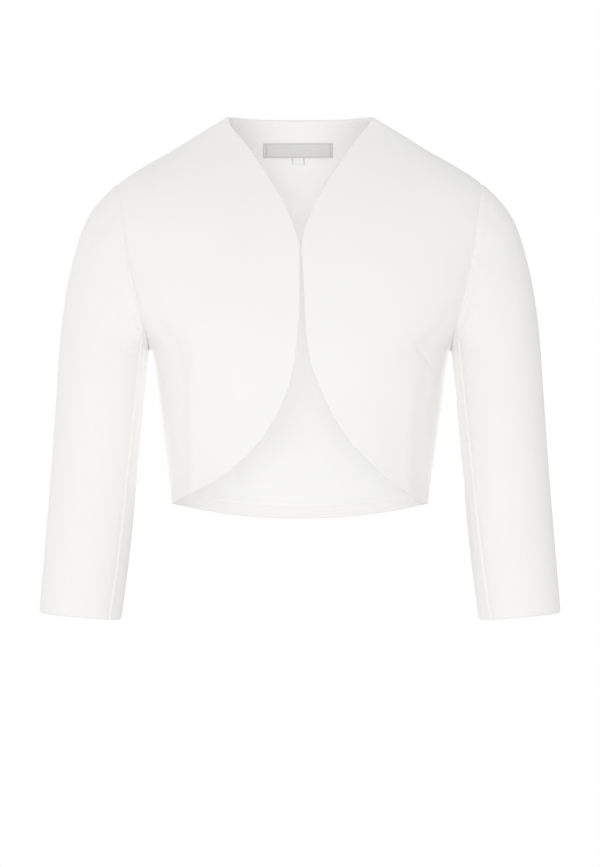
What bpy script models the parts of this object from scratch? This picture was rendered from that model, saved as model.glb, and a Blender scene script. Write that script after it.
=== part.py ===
"""Cropped collarless jacket with round cutaway fronts and three-quarter two-piece sleeves, as worn.

The origin lies midway between the two side-neck points, where the wearer's neck and shoulders carry the
jacket. +Z is up, -Y is the wearer's front and +X is the wearer's left. A drop is a height measured down from
the side-neck points, as a tailor measures it. All lengths are in metres and all angles in radians.
"""

import math

import bmesh
import bpy
import numpy as np

# Cloth
SHELL_THICK = 0.0018
LINING_THICK = 0.0010
LABEL_THICK = 0.0010
SEAM_GAP = 0.0003

# Landmarks on the body of the jacket
SHOULDER_TIP_DROP = 0.071
SHOULDER_TIP_REACH = 0.190
UNDERARM_DROP = 0.241
UNDERARM_REACH = 0.1575
ARMHOLE_BULGE = 0.0043
SIDE_HEM_DROP = 0.407
HEM_DIP = 0.0165
BACK_NECK_DROP = 0.0008

# Bust: each front is rounded out over the end of its dart
BUST_ANGLE = 0.60
BUST_DROP = 0.238
BUST_RISE = 0.004
BUST_ANGLE_SPREAD = 0.34
BUST_DROP_SPREAD = 0.050

# Inside of the back
TURN_UP_HEIGHT = 0.0118
LINING_NECK_INSET = 0.0020
LINING_SIDE_SHARE = 0.15
LABEL_WIDTH = 0.074
LABEL_TOP_DROP = 0.0233
LABEL_BOTTOM_DROP = 0.0375
LABEL_SHIFT = -0.002
TAB_WIDTH = 0.013
TAB_BOTTOM_DROP = 0.0450

# Mesh density: steps along and across each piece
SHOULDER_STEPS = 7
ARMHOLE_STEPS = 11
SIDE_STEPS = 13
FRONT_COLUMNS = 12
BACK_COLUMNS = 22
CAP_STEPS = 7
ARM_STEPS = 10
FRONT_SEAM_STEP = 9
BACK_SEAM_STEP = 7
UPPER_COLUMNS = FRONT_SEAM_STEP + BACK_SEAM_STEP
UNDER_COLUMNS = 2 * ARMHOLE_STEPS - UPPER_COLUMNS
SECTION_SAMPLES = 400
BEND_WEIGHT = 0.06

# Colours
SHELL_WHITE = (0.90, 0.895, 0.88)
LINING_WHITE = (0.88, 0.88, 0.87)
LABEL_GREY = (0.62, 0.62, 0.61)

FRONT, BACK = -1, 1
RIGHT, LEFT = -1, 1


def table(columns, *rows):
    """A short table as one array for each named column."""
    return dict(zip(columns.split(), np.array(rows, float).T))


# Level sections of the body. half_width is the furthest reach from the middle: the shoulder line above the
# shoulder tip and the side seam below the underarm. Between these the armhole cuts each section short.
BODY = table(
    "drop   half_width front_depth back_depth squareness",
    (0.000, 0.0756, 0.0100, 0.0520, 2.00),
    (0.014, 0.0990, 0.0210, 0.0610, 2.00),
    (0.035, 0.1328, 0.0370, 0.0730, 2.10),
    (0.056, 0.1690, 0.0510, 0.0810, 2.20),
    (0.071, 0.1900, 0.0600, 0.0860, 2.30),
    (0.090, 0.2015, 0.0710, 0.0910, 2.40),
    (0.115, 0.2050, 0.0830, 0.0960, 2.50),
    (0.140, 0.2030, 0.0930, 0.0990, 2.50),
    (0.165, 0.1970, 0.1020, 0.1000, 2.50),
    (0.195, 0.1870, 0.1100, 0.0990, 2.50),
    (0.220, 0.1740, 0.1150, 0.0970, 2.50),
    (0.241, 0.1575, 0.1175, 0.0950, 2.50),
    (0.262, 0.1533, 0.1185, 0.0925, 2.45),
    (0.300, 0.1484, 0.1170, 0.0885, 2.40),
    (0.340, 0.1428, 0.1135, 0.0850, 2.35),
    (0.380, 0.1373, 0.1090, 0.0820, 2.30),
    (0.424, 0.1325, 0.1050, 0.0810, 2.30),
)

# The front edge from the side-neck point, past the point where the fronts meet, round to the side seam.
# half_gap is half the distance between the two edges and shift moves both to the wearer's left.
FRONT_EDGE = table(
    "drop    half_gap shift",
    (0.0000, 0.0756, 0.0000),
    (0.0085, 0.0728, -0.0005),
    (0.0260, 0.0596, -0.0010),
    (0.0525, 0.0414, -0.0005),
    (0.0700, 0.0301, -0.0008),
    (0.0870, 0.0204, -0.0008),
    (0.1040, 0.0119, -0.0005),
    (0.1210, 0.0057, -0.0003),
    (0.1375, 0.0017, 0.0000),
    (0.1750, 0.0017, 0.0012),
    (0.2160, 0.0034, 0.0017),
    (0.2575, 0.0082, 0.0020),
    (0.2985, 0.0219, 0.0040),
    (0.3395, 0.0460, 0.0043),
    (0.3600, 0.0659, 0.0040),
    (0.3810, 0.0908, 0.0020),
    (0.3915, 0.1078, 0.0010),
    (0.4020, 0.1270, 0.0000),
    (0.4070, 0.1340, 0.0000),
)

# Rings of a sleeve from the armhole to the cuff. Each ring runs from its outer point to its inner point and
# is as deep as front_depth and back_depth say. forward carries it towards the wearer's front, as the arm bends.
SLEEVE = table(
    "outer_reach outer_drop inner_reach inner_drop front_depth back_depth forward",
    (0.1900, 0.0710, 0.1575, 0.2410, 0.0580, 0.0580, 0.000),
    (0.2065, 0.0850, 0.1582, 0.2424, 0.0585, 0.0585, 0.000),
    (0.2240, 0.1087, 0.1588, 0.2440, 0.0580, 0.0590, 0.000),
    (0.2380, 0.1507, 0.1594, 0.2470, 0.0565, 0.0580, 0.001),
    (0.2465, 0.1927, 0.1600, 0.2520, 0.0545, 0.0560, 0.002),
    (0.2515, 0.2347, 0.1606, 0.2600, 0.0530, 0.0540, 0.003),
    (0.2557, 0.2977, 0.1643, 0.3020, 0.0500, 0.0510, 0.006),
    (0.2606, 0.3710, 0.1706, 0.3750, 0.0465, 0.0485, 0.011),
    (0.2662, 0.4447, 0.1770, 0.4490, 0.0430, 0.0445, 0.019),
    (0.2720, 0.5200, 0.1868, 0.5275, 0.0400, 0.0405, 0.028),
)
BICEP_ROW = 5
CUFF_ROW = len(SLEEVE["forward"]) - 1

# The two long seams of a sleeve, as angles round the ring: 0 is outermost, a right angle is the front and a
# straight angle is innermost. station counts rows of the sleeve's table. At the armhole each seam starts from
# one of the body's own rows.
SLEEVE_SEAMS = table(
    "station front_seam back_seam",
    (0.0, math.pi * FRONT_SEAM_STEP / ARMHOLE_STEPS, math.pi * (2 - BACK_SEAM_STEP / ARMHOLE_STEPS)),
    (5.0, 2.56, 4.33),
    (7.0, 2.47, 4.36),
    (9.0, 2.37, 4.40),
)

# Dart and folds of a front: each is a trough from one end to the other, in section angle and drop.
FRONT_FOLDS = table(
    "angle_from drop_from angle_to drop_to half_width depth",
    (0.80, 0.243, 1.50, 0.288, 0.0070, 0.0014),
    (1.02, 0.196, 1.30, 0.236, 0.0110, 0.0016),
    (0.95, 0.330, 1.15, 0.392, 0.0150, 0.0012),
)

# Folds across a sleeve at the crook of the arm and under the cap, in ring angle and station.
SLEEVE_FOLDS = table(
    "angle_from station_from angle_to station_to half_width depth",
    (1.10, 3.2, 2.30, 4.6, 0.0130, 0.0016),
    (1.30, 6.7, 2.60, 7.2, 0.0120, 0.0014),
    (1.60, 7.5, 2.70, 7.2, 0.0100, 0.0010),
    (4.70, 4.6, 5.60, 3.2, 0.0140, 0.0018),
    (4.50, 7.2, 5.50, 6.8, 0.0120, 0.0014),
)
FOLD_ANGLE_ARM = 0.14
SLEEVE_ANGLE_ARM = 0.046
SLEEVE_STATION_LENGTH = 0.060


def curve_through(knots, values, at):
    """Smooth curve through the knots that never overshoots them: a monotone Fritsch-Carlson cubic."""
    at = np.clip(np.asarray(at, float), knots[0], knots[-1])
    step = np.diff(knots)
    rise = np.diff(values) / step
    same_way = rise[:-1] * rise[1:] > 0
    weight_in = 2 * step[1:] + step[:-1]
    weight_out = step[1:] + 2 * step[:-1]
    safe_in = np.where(same_way, rise[:-1], 1.0)
    safe_out = np.where(same_way, rise[1:], 1.0)
    mean = (weight_in + weight_out) / (weight_in / safe_in + weight_out / safe_out)
    slope = np.concatenate([[rise[0]], np.where(same_way, mean, 0.0), [rise[-1]]])
    i = np.clip(np.searchsorted(knots, at, side="right") - 1, 0, len(step) - 1)
    u = (at - knots[i]) / step[i]
    return (
        values[i] * (1 + 2 * u) * (1 - u) ** 2
        + slope[i] * step[i] * u * (1 - u) ** 2
        + values[i + 1] * u**2 * (3 - 2 * u)
        + slope[i + 1] * step[i] * u**2 * (u - 1)
    )


def at_drop(rows, column, drop):
    return curve_through(rows["drop"], rows[column], drop)


def smooth_step(u):
    u = np.clip(u, 0.0, 1.0)
    return u * u * (3 - 2 * u)


def troughs(folds, first, second, across, along, to_length):
    """Sum of soft troughs, each along the line between a fold's two ends, fading out at the ends."""
    total = np.zeros(np.broadcast(across, along).shape)
    scale = np.array(to_length)
    names = (f"{first}_from", f"{second}_from", f"{first}_to", f"{second}_to", "half_width", "depth")
    for a0, d0, a1, d1, half_width, depth in zip(*(folds[name] for name in names)):
        start = np.array((a0, d0)) * scale
        line = np.array((a1, d1)) * scale - start
        length = np.hypot(*line)
        u = (across * scale[0] - start[0]) * line[0] + (along * scale[1] - start[1]) * line[1]
        v = (across * scale[0] - start[0]) * line[1] - (along * scale[1] - start[1]) * line[0]
        u, v = u / length**2, v / length
        ends = smooth_step(u / 0.25 + 0.5) * smooth_step((1 - u) / 0.25 + 0.5)
        total += depth * ends * np.exp(-((v / half_width) ** 2))
    return total


# Body sections


def body_surface(angle, drop, face):
    """Points and outward normals at section angles from the middle of the front or back, 0, to the side."""
    angle, drop = np.broadcast_arrays(np.asarray(angle, float), np.asarray(drop, float))
    depth_name = "front_depth" if face == FRONT else "back_depth"
    width, depth = at_drop(BODY, "half_width", drop), at_drop(BODY, depth_name, drop)
    power = at_drop(BODY, "squareness", drop)
    x = width * np.sign(angle) * np.abs(np.sin(angle)) ** (2 / power)
    y = face * depth * np.abs(np.cos(angle)) ** (2 / power)

    def level_set(at):
        wide, deep = at_drop(BODY, "half_width", at), at_drop(BODY, depth_name, at)
        bend = at_drop(BODY, "squareness", at)
        return (np.abs(x) / wide) ** bend + (np.abs(y) / deep) ** bend

    step = 0.0005
    low, high = np.clip(drop - step, 0, None), drop + step
    normal = np.stack(
        [
            power * np.sign(x) * np.abs(x) ** (power - 1) / width**power,
            power * np.sign(y) * np.abs(y) ** (power - 1) / depth**power,
            -(level_set(high) - level_set(low)) / (high - low),
        ],
        axis=-1,
    )
    normal /= np.linalg.norm(normal, axis=-1, keepdims=True)
    return np.stack([x, y, -drop], axis=-1), normal


def section_angle(reach, drop):
    """The section angle of a point that lies at this reach from the middle."""
    width, power = at_drop(BODY, "half_width", drop), at_drop(BODY, "squareness", drop)
    return np.arcsin(np.clip(reach / width, 0, 1) ** (power / 2))


def armhole_reach(drop):
    """How far out the armhole seam lies: straight from shoulder tip to underarm, with a slight bulge."""
    u = np.clip((drop - SHOULDER_TIP_DROP) / (UNDERARM_DROP - SHOULDER_TIP_DROP), 0, 1)
    straight = SHOULDER_TIP_REACH + (UNDERARM_REACH - SHOULDER_TIP_REACH) * u
    return straight + ARMHOLE_BULGE * np.sin(math.pi * u)


def outer_angle(drop):
    """The section angle where a panel ends: at the shoulder seam, the armhole or the side seam."""
    in_armhole = (drop > SHOULDER_TIP_DROP) & (drop < UNDERARM_DROP)
    return np.where(in_armhole, section_angle(armhole_reach(drop), drop), math.pi / 2)


def front_edge_angle(drop, side):
    reach = at_drop(FRONT_EDGE, "half_gap", drop) + side * at_drop(FRONT_EDGE, "shift", drop)
    return section_angle(reach, drop)


def row_levels(first):
    """Levels of a panel's rows at its outer seam and in its middle, with one at each end of the armhole."""
    shoulder = np.linspace(0, SHOULDER_TIP_DROP, SHOULDER_STEPS + 1)[:-1]
    shoulder[0] = first
    even = np.linspace(0, 1, ARMHOLE_STEPS + 1)[:-1]
    rounded = (1 - np.cos(math.pi * even)) / 2
    side = np.linspace(UNDERARM_DROP, SIDE_HEM_DROP, SIDE_STEPS + 1)
    armholes = (SHOULDER_TIP_DROP + (UNDERARM_DROP - SHOULDER_TIP_DROP) * share for share in (rounded, even))
    return tuple(np.concatenate([shoulder, armhole, side]) for armhole in armholes)


def panel_row(angles, drops, face, columns):
    """Section angles and drops along one row of a panel, closer together where the row bends.

    The row runs from the first angle and drop to the last, and stops half a seam's gap short of the last.
    """
    share = np.linspace(0, 1, SECTION_SAMPLES)
    angle = angles[0] + (angles[1] - angles[0]) * share
    drop = drops[0] + (drops[1] - drops[0]) * share**2
    points, normals = body_surface(angle, drop, face)
    steps = np.linalg.norm(np.diff(points, axis=0), axis=1)
    turns = np.linalg.norm(np.diff(normals, axis=0), axis=1)
    length = np.concatenate([[0], np.cumsum(steps)])
    measure = np.concatenate([[0], np.cumsum(steps + BEND_WEIGHT * turns)])
    last = np.interp(length[-1] - min(SEAM_GAP, length[-1]) / 2, length, measure)
    wanted = np.linspace(0, last, columns + 1)
    return np.interp(wanted, measure, angle), np.interp(wanted, measure, drop)


# Walls and objects


def cloth_material(name, colour, roughness):
    material = bpy.data.materials.new(name)
    material.use_nodes = True
    shader = material.node_tree.nodes["Principled BSDF"]
    shader.inputs["Base Color"].default_value = (*colour, 1.0)
    shader.inputs["Roughness"].default_value = roughness
    shader.inputs["Metallic"].default_value = 0.0
    return material


def wall_faces(rows, columns):
    """Quads of a closed wall: its outer grid, its inner grid turned round, and a rim round all four sides."""
    index = np.arange(rows * columns).reshape(rows, columns)
    outer = np.stack([index[:-1, :-1], index[:-1, 1:], index[1:, 1:], index[1:, :-1]], -1).reshape(-1, 4)
    inner = outer[:, ::-1] + rows * columns
    border = np.concatenate([index[0, :-1], index[:-1, -1], index[-1, :0:-1], index[:0:-1, 0]])
    ahead = np.roll(border, -1)
    rim = np.stack([ahead, border, border + rows * columns, ahead + rows * columns], -1)
    return np.concatenate([outer, inner, rim]).tolist()


def wall(name, surface, normals, near, far, material, parent):
    """A closed cloth wall from near to far inside a surface, both measured against its outward normals."""
    rows, columns = surface.shape[:2]
    points = np.concatenate([(surface - normals * depth).reshape(-1, 3) for depth in (near, far)])
    mesh = bpy.data.meshes.new(name)
    mesh.from_pydata(points.tolist(), [], wall_faces(rows, columns))
    shape = bmesh.new()
    shape.from_mesh(mesh)
    bmesh.ops.remove_doubles(shape, verts=shape.verts, dist=1e-6)
    bmesh.ops.triangulate(shape, faces=shape.faces)
    bmesh.ops.recalc_face_normals(shape, faces=shape.faces)
    shape.to_mesh(mesh)
    shape.free()
    mesh.shade_smooth()
    mesh.set_sharp_from_angle(angle=math.radians(50))
    mesh.materials.append(material)
    piece = bpy.data.objects.new(name, mesh)
    piece.parent = parent
    bpy.context.scene.collection.objects.link(piece)
    return piece


def mirrored(points, side):
    return points * np.array((side, 1, 1))


# Fronts, back and what is sewn inside the back


def front_edge_levels(middle, side):
    """Levels of a front's rows at its front edge: evenly spaced along the edge below the underarm."""
    share = np.sin(np.linspace(0, math.pi / 2, SECTION_SAMPLES))
    drops = UNDERARM_DROP + (SIDE_HEM_DROP - UNDERARM_DROP) * share
    points, _ = body_surface(front_edge_angle(drops, side), drops, FRONT)
    length = np.concatenate([[0], np.cumsum(np.linalg.norm(np.diff(points, axis=0), axis=1))])
    lower = np.interp(np.linspace(0, length[-1], SIDE_STEPS + 1), length, drops)
    return np.concatenate([middle[: -SIDE_STEPS - 1], lower])


def make_front(name, side, material, parent):
    """A front from the neck point to the side hem. Its rows run from the front edge to the outer seam."""
    at_seam, middle = row_levels(0.0)
    at_edge = front_edge_levels(middle, side)
    ends = zip(front_edge_angle(at_edge, side), outer_angle(at_seam), at_edge, at_seam)
    rows = [panel_row((edge, seam), (start, end), FRONT, FRONT_COLUMNS) for edge, seam, start, end in ends]
    angles, drop_grid = np.array(rows).swapaxes(0, 1)
    surface, normals = body_surface(angles, drop_grid, FRONT)
    across = (angles - BUST_ANGLE) / BUST_ANGLE_SPREAD
    down = (drop_grid - BUST_DROP) / BUST_DROP_SPREAD
    bust = np.exp(-(across**2) - down**2)
    folds = troughs(FRONT_FOLDS, "angle", "drop", angles, drop_grid, (FOLD_ANGLE_ARM, 1.0))
    to_seam = outer_angle(drop_grid) - angles
    rise = (BUST_RISE * bust - folds) * smooth_step(to_seam / 0.12)
    surface = surface + normals * rise[..., None]
    wall(name, mirrored(surface, side), mirrored(normals, side), 0.0, SHELL_THICK, material, parent)


def hem_drop(angle, drop):
    """Levels below the underarm are let down towards the middle of the back, fully at the hem."""
    share = smooth_step((drop - UNDERARM_DROP) / (SIDE_HEM_DROP - UNDERARM_DROP))
    return drop + HEM_DIP * share * np.cos(angle) ** 2


def back_grid():
    """Levels, points and normals of the back, from the wearer's right outer seam to the left one."""
    at_seam, middle = row_levels(BACK_NECK_DROP)
    ends = zip(outer_angle(at_seam), middle, at_seam)
    halves = [panel_row((0.0, seam), (start, end), BACK, BACK_COLUMNS // 2) for seam, start, end in ends]
    angles, drops = np.array(halves).swapaxes(0, 1)
    angles = np.concatenate([-angles[:, :0:-1], angles], axis=1)
    drops = np.concatenate([drops[:, :0:-1], drops], axis=1)
    surface, normals = body_surface(angles, hem_drop(angles, drops), BACK)
    return middle, surface, normals


def span(first, last):
    """The two ends of a stretch of a grid, and the grid's own rows or columns between them."""
    return np.concatenate([[first], np.arange(math.floor(first) + 1, math.ceil(last)), [last]])


def sampled(grid, rows, columns):
    """Points of a grid at rows and columns that may lie between its own, on the facets that join them."""
    rows, columns = np.broadcast_arrays(rows, columns)
    row, column = (np.minimum(at.astype(int), size - 2) for at, size in zip((rows, columns), grid.shape))
    down, over = (rows - row)[..., None], (columns - column)[..., None]
    above = grid[row, column] * (1 - over) + grid[row, column + 1] * over
    below = grid[row + 1, column] * (1 - over) + grid[row + 1, column + 1] * over
    return above * (1 - down) + below * down


def make_back(shell, lining, tape, parent):
    """The back and what is sewn inside it, which is made from the back's own points, moved inwards."""
    drops, surface, normals = back_grid()
    wall("back", surface, normals, 0.0, SHELL_THICK, shell, parent)

    def row_span(top, bottom):
        return span(*np.interp((top, bottom), drops, np.arange(len(drops))))

    def sew_inside(name, rows, columns, near, thick, material):
        at = rows[:, None], columns
        wall(name, sampled(surface, *at), sampled(normals, *at), near, near + thick, material, parent)

    on_shell = SHELL_THICK + SEAM_GAP
    on_lining = on_shell + LINING_THICK + SEAM_GAP
    lined = span(LINING_SIDE_SHARE, BACK_COLUMNS - LINING_SIDE_SHARE)
    turn_up = SIDE_HEM_DROP - TURN_UP_HEIGHT
    lining_rows = row_span(BACK_NECK_DROP + LINING_NECK_INSET, turn_up - SEAM_GAP)
    sew_inside("back_lining", lining_rows, lined, on_shell, LINING_THICK, lining)
    turn_up_rows = row_span(turn_up, SIDE_HEM_DROP - SEAM_GAP)
    sew_inside("back_hem_turn_up", turn_up_rows, lined, on_shell, LINING_THICK, shell)

    def sew_tape(name, width, top, bottom):
        """A straight-sided tape on the lining: its two ends keep their reach from row to row."""
        rows = row_span(top, bottom)
        reach = sampled(surface, rows[:, None], np.arange(BACK_COLUMNS + 1.0))[..., 0]
        sides = LABEL_SHIFT - width / 2, LABEL_SHIFT + width / 2
        ends = np.array([np.interp(sides, row, np.arange(BACK_COLUMNS + 1)) for row in reach])
        inside = np.arange(math.floor(ends[:, 0].max()) + 1.0, math.ceil(ends[:, 1].min()))
        columns = np.concatenate([ends[:, :1], np.tile(inside, (len(rows), 1)), ends[:, 1:]], axis=1)
        sew_inside(name, rows, columns, on_lining, LABEL_THICK, tape)

    sew_tape("label", LABEL_WIDTH, LABEL_TOP_DROP, LABEL_BOTTOM_DROP)
    sew_tape("size_tab", TAB_WIDTH, LABEL_BOTTOM_DROP + SEAM_GAP, TAB_BOTTOM_DROP)


# Sleeves


def armhole_ring(angle):
    """Points of the armhole seam on the body, by ring angle from the shoulder tip through the front."""
    middle = (SHOULDER_TIP_DROP + UNDERARM_DROP) / 2
    drop = middle - (UNDERARM_DROP - SHOULDER_TIP_DROP) / 2 * np.cos(angle)
    section = section_angle(armhole_reach(drop), drop)
    front, _ = body_surface(section, drop, FRONT)
    back, _ = body_surface(section, drop, BACK)
    return np.where((np.sin(angle) >= 0)[..., None], front, back)


def plain_ring(angle, station):
    """Points of an oval ring at a station of the sleeve's table."""
    rows = np.arange(CUFF_ROW + 1.0)
    at = {name: curve_through(rows, values, station) for name, values in SLEEVE.items()}
    depth = np.where(np.sin(angle) >= 0, at["front_depth"], at["back_depth"])
    outward = (1 + np.cos(angle)) / 2
    reach = at["inner_reach"] + (at["outer_reach"] - at["inner_reach"]) * outward
    drop = at["inner_drop"] + (at["outer_drop"] - at["inner_drop"]) * outward
    return np.stack([reach, -at["forward"] - depth * np.sin(angle), -drop], axis=-1)


def sleeve_points(angle, station):
    """Points of the sleeve: oval rings that take up the armhole's own shape towards the seam."""
    angle, station = np.broadcast_arrays(angle, station)
    at_seam = 1 - smooth_step(station / BICEP_ROW)
    correction = armhole_ring(angle) - plain_ring(angle, np.zeros_like(station))
    return plain_ring(angle, station) + at_seam[..., None] * correction


def sleeve_surface(angle, station):
    """Points and outward normals of the sleeve, the normals from small steps along and round it."""
    step = 0.002
    round_it = sleeve_points(angle + step, station) - sleeve_points(angle - step, station)
    low, high = np.clip(station - step, 0, None), np.clip(station + step, None, CUFF_ROW)
    along_it = sleeve_points(angle, high) - sleeve_points(angle, low)
    normal = np.cross(round_it, along_it)
    normal /= np.linalg.norm(normal, axis=-1, keepdims=True)
    return sleeve_points(angle, station), normal


def make_sleeve_part(name, side, seam_from, seam_to, columns, material, parent):
    """The upper or under part of a sleeve, between its two long seams, from the armhole to the cuff."""
    cap = BICEP_ROW * np.linspace(0, 1, CAP_STEPS + 1)
    arm = BICEP_ROW + (CUFF_ROW - BICEP_ROW) * np.linspace(0, 1, ARM_STEPS + 1)
    stations = np.concatenate([cap[:-1], arm])
    gap_angle = SEAM_GAP / 2 / SLEEVE_ANGLE_ARM
    start = curve_through(SLEEVE_SEAMS["station"], SLEEVE_SEAMS[seam_from], stations)[:, None] + gap_angle
    end = curve_through(SLEEVE_SEAMS["station"], SLEEVE_SEAMS[seam_to], stations)[:, None] - gap_angle
    if start[0] > end[0]:
        start = start - 2 * math.pi
    angles = start + (end - start) * np.linspace(0, 1, columns + 1)
    station_grid = np.broadcast_to(stations[:, None], angles.shape)
    surface, normals = sleeve_surface(angles, station_grid)
    along = np.diff(surface[:2], axis=0)[0]
    surface[0] += along / np.linalg.norm(along, axis=-1, keepdims=True) * SEAM_GAP
    folds = troughs(
        SLEEVE_FOLDS,
        "angle",
        "station",
        angles % (2 * math.pi),
        station_grid,
        (SLEEVE_ANGLE_ARM, SLEEVE_STATION_LENGTH),
    )
    from_seams = smooth_step(np.minimum(angles - start, end - angles) / 0.2) * smooth_step(station_grid / 1.5)
    surface = surface - normals * (folds * from_seams)[..., None]
    wall(name, mirrored(surface, side), mirrored(normals, side), 0.0, SHELL_THICK, material, parent)


def make_sleeve(side_name, side, material, parent):
    for part, seams, columns in (
        ("upper", ("back_seam", "front_seam"), UPPER_COLUMNS),
        ("under", ("front_seam", "back_seam"), UNDER_COLUMNS),
    ):
        make_sleeve_part(f"{part}_sleeve_{side_name}", side, *seams, columns, material, parent)


def main():
    for old in list(bpy.data.objects):
        bpy.data.objects.remove(old)
    shell = cloth_material("shell_crepe", SHELL_WHITE, 0.85)
    lining = cloth_material("lining_satin", LINING_WHITE, 0.55)
    tape = cloth_material("label_tape", LABEL_GREY, 0.50)
    jacket = bpy.data.objects.new("jacket", None)
    bpy.context.scene.collection.objects.link(jacket)
    for side_name, side in (("right", RIGHT), ("left", LEFT)):
        make_front(f"front_{side_name}", side, shell, jacket)
        make_sleeve(side_name, side, shell, jacket)
    make_back(shell, lining, tape, jacket)


main()
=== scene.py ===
"""Looks of a cropped collarless jacket with round cutaway fronts and three-quarter two-piece sleeves.

The origin lies midway between the two side-neck points. +Z is up, -Y is the wearer's front and +X is the wearer's
left. A drop is a height measured down from the side-neck points. Lengths are in metres and angles in radians.
Each cloth piece repeats the form of the solid that it stands for on a finer grid, with its creases, rolled seams,
turned edges and sewing.
"""

import math

import bpy
import numpy as np
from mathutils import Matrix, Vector


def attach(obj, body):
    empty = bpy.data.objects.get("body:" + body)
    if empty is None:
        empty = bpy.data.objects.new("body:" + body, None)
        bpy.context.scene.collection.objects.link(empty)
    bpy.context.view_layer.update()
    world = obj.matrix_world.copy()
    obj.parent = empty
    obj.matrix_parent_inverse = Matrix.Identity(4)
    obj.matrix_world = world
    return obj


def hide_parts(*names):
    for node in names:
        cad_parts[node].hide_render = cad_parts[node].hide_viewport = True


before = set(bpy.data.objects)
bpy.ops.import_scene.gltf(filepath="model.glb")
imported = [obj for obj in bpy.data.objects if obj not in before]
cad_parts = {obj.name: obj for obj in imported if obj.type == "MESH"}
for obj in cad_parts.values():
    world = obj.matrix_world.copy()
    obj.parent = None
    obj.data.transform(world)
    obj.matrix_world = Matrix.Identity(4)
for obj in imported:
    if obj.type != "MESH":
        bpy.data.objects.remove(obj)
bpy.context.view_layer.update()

# Cloth
SHELL_THICK = 0.0018
LINING_THICK = 0.0010
TAPE_THICK = 0.0008
LAYER_GAP = 0.0003
TURNED_ROUND = 0.0009
SEAM_ROUND = 0.00010
SEAM_SPACE = -0.00004
# Edges as how far they bulge and how full their round is: 1 is half round, and less is squarer
TURNED_EDGE = (TURNED_ROUND, 1.0)
SEAM_EDGE = (SEAM_ROUND, 0.3)
CUT_EDGE = (0.0004, 0.7)
THIN_EDGE = (0.0001, 1.0)

# Landmarks on the body of the jacket
SHOULDER_TIP_DROP = 0.071
SHOULDER_TIP_REACH = 0.190
UNDERARM_DROP = 0.241
UNDERARM_REACH = 0.1575
ARMHOLE_BULGE = 0.0043
SIDE_HEM_DROP = 0.407
HEM_DIP = 0.0165
BACK_NECK_DROP = 0.0003
FRONT_TIP_CUT = 0.0006
FRONT_CORNER_CUT = 0.0007

# Bust: each front is rounded out over the end of its dart
BUST_ANGLE = 0.60
BUST_DROP = 0.238
BUST_RISE = 0.004
BUST_ANGLE_SPREAD = 0.34
BUST_DROP_SPREAD = 0.050

# Lining and turned-up hem of the back. The lining puffs out over its felled lower edge and sinks at the neck.
TURN_UP_HEIGHT = 0.0118
TURN_UP_TOP_INSET = 0.0003
TURN_UP_BOTTOM_INSET = 0.0012
LINING_NECK_INSET = 0.0008
LINING_SIDE_INSET = 0.0030
FELL_CRACK = 0.0004
FELL_PUFF = 0.0006
FELL_PUFF_AT = 0.0025
FELL_PUFF_REACH = 0.0030
LINING_NECK_SINK = 0.00025
LINING_NECK_SINK_REACH = 0.004
SLACK_SIDE_FADE = 0.02
SLACK_FELL_FADE = 0.012
NECK_STITCH_ROW = 2.4
NECK_STITCH_PITCH = 0.0030
NECK_STITCH_LENGTH = 0.0022

# Label and tab. Stitch margins and gaps and the selvedge's reach are shares of the label's height.
TAPE_DEPTH = SHELL_THICK + 2 * LAYER_GAP + LINING_THICK
LABEL_WIDTH = 0.074
LABEL_TOP_DROP = 0.0233
LABEL_BOTTOM_DROP = 0.0375
LABEL_SHIFT = -0.002
LABEL_PROUD = 0.0003
LABEL_PROUD_AT_EDGE = 0.4
LABEL_END_FOLD = 0.0032
LABEL_FOLD_RISE = 0.00022
LABEL_FOLD_SOFT = 0.0014
SELVEDGE_RISE = 0.00012
SELVEDGE_REACH = 0.05
LABEL_STITCH_INSET = 0.0023
LABEL_STITCHES = 7
LABEL_STITCH_MARGIN = 0.06
LABEL_STITCH_GAP = 0.02
TAB_WIDTH = 0.013
TAB_BOTTOM_DROP = 0.0450
TAB_GAP = 0.0004
TAB_FOLD_RADIUS = 0.0007
TAB_THICK = 0.00035

# A stitch of sewing thread. Its arch, sink and tip are counted in its radius.
THREAD_RADIUS = 0.00016
THREAD_ARCH = 1.6
THREAD_SINK = 0.7
THREAD_TIP = 0.08
THREAD_STEPS = 6
THREAD_SIDES = 6

# Grids: rows down each piece and columns across it. Columns crowd towards the ends that are given a weight.
SHOULDER_ROWS = 54
ARMHOLE_ROWS = 96
SIDE_ROWS = 104
FRONT_COLUMNS = 112
BACK_HALF_COLUMNS = 72
LINING_ROWS = 190
LINING_COLUMNS = 120
TURN_UP_ROWS = 14
SLEEVE_ROWS = 230
UPPER_COLUMNS = 116
UNDER_COLUMNS = 60
LABEL_COLUMNS = 144
LABEL_ROWS = 32
TAB_COLUMNS = 24
TAB_LEG_ROWS = 8
TAB_FOLD_ROWS = 8
SAMPLES = 400
CROWD = 0.014
CROWD_REACH = 0.004
FRONT_CROWD = (0.5, 1)
BACK_HALF_CROWD = (0, 1)
RIM_STEPS = 5

FRONT, BACK = -1, 1
RIGHT, LEFT = -1, 1
SIDES = (("right", RIGHT), ("left", LEFT))


def table(columns, *rows):
    """A short table as one array for each named column."""
    return dict(zip(columns.split(), np.array(rows, float).T))


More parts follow.
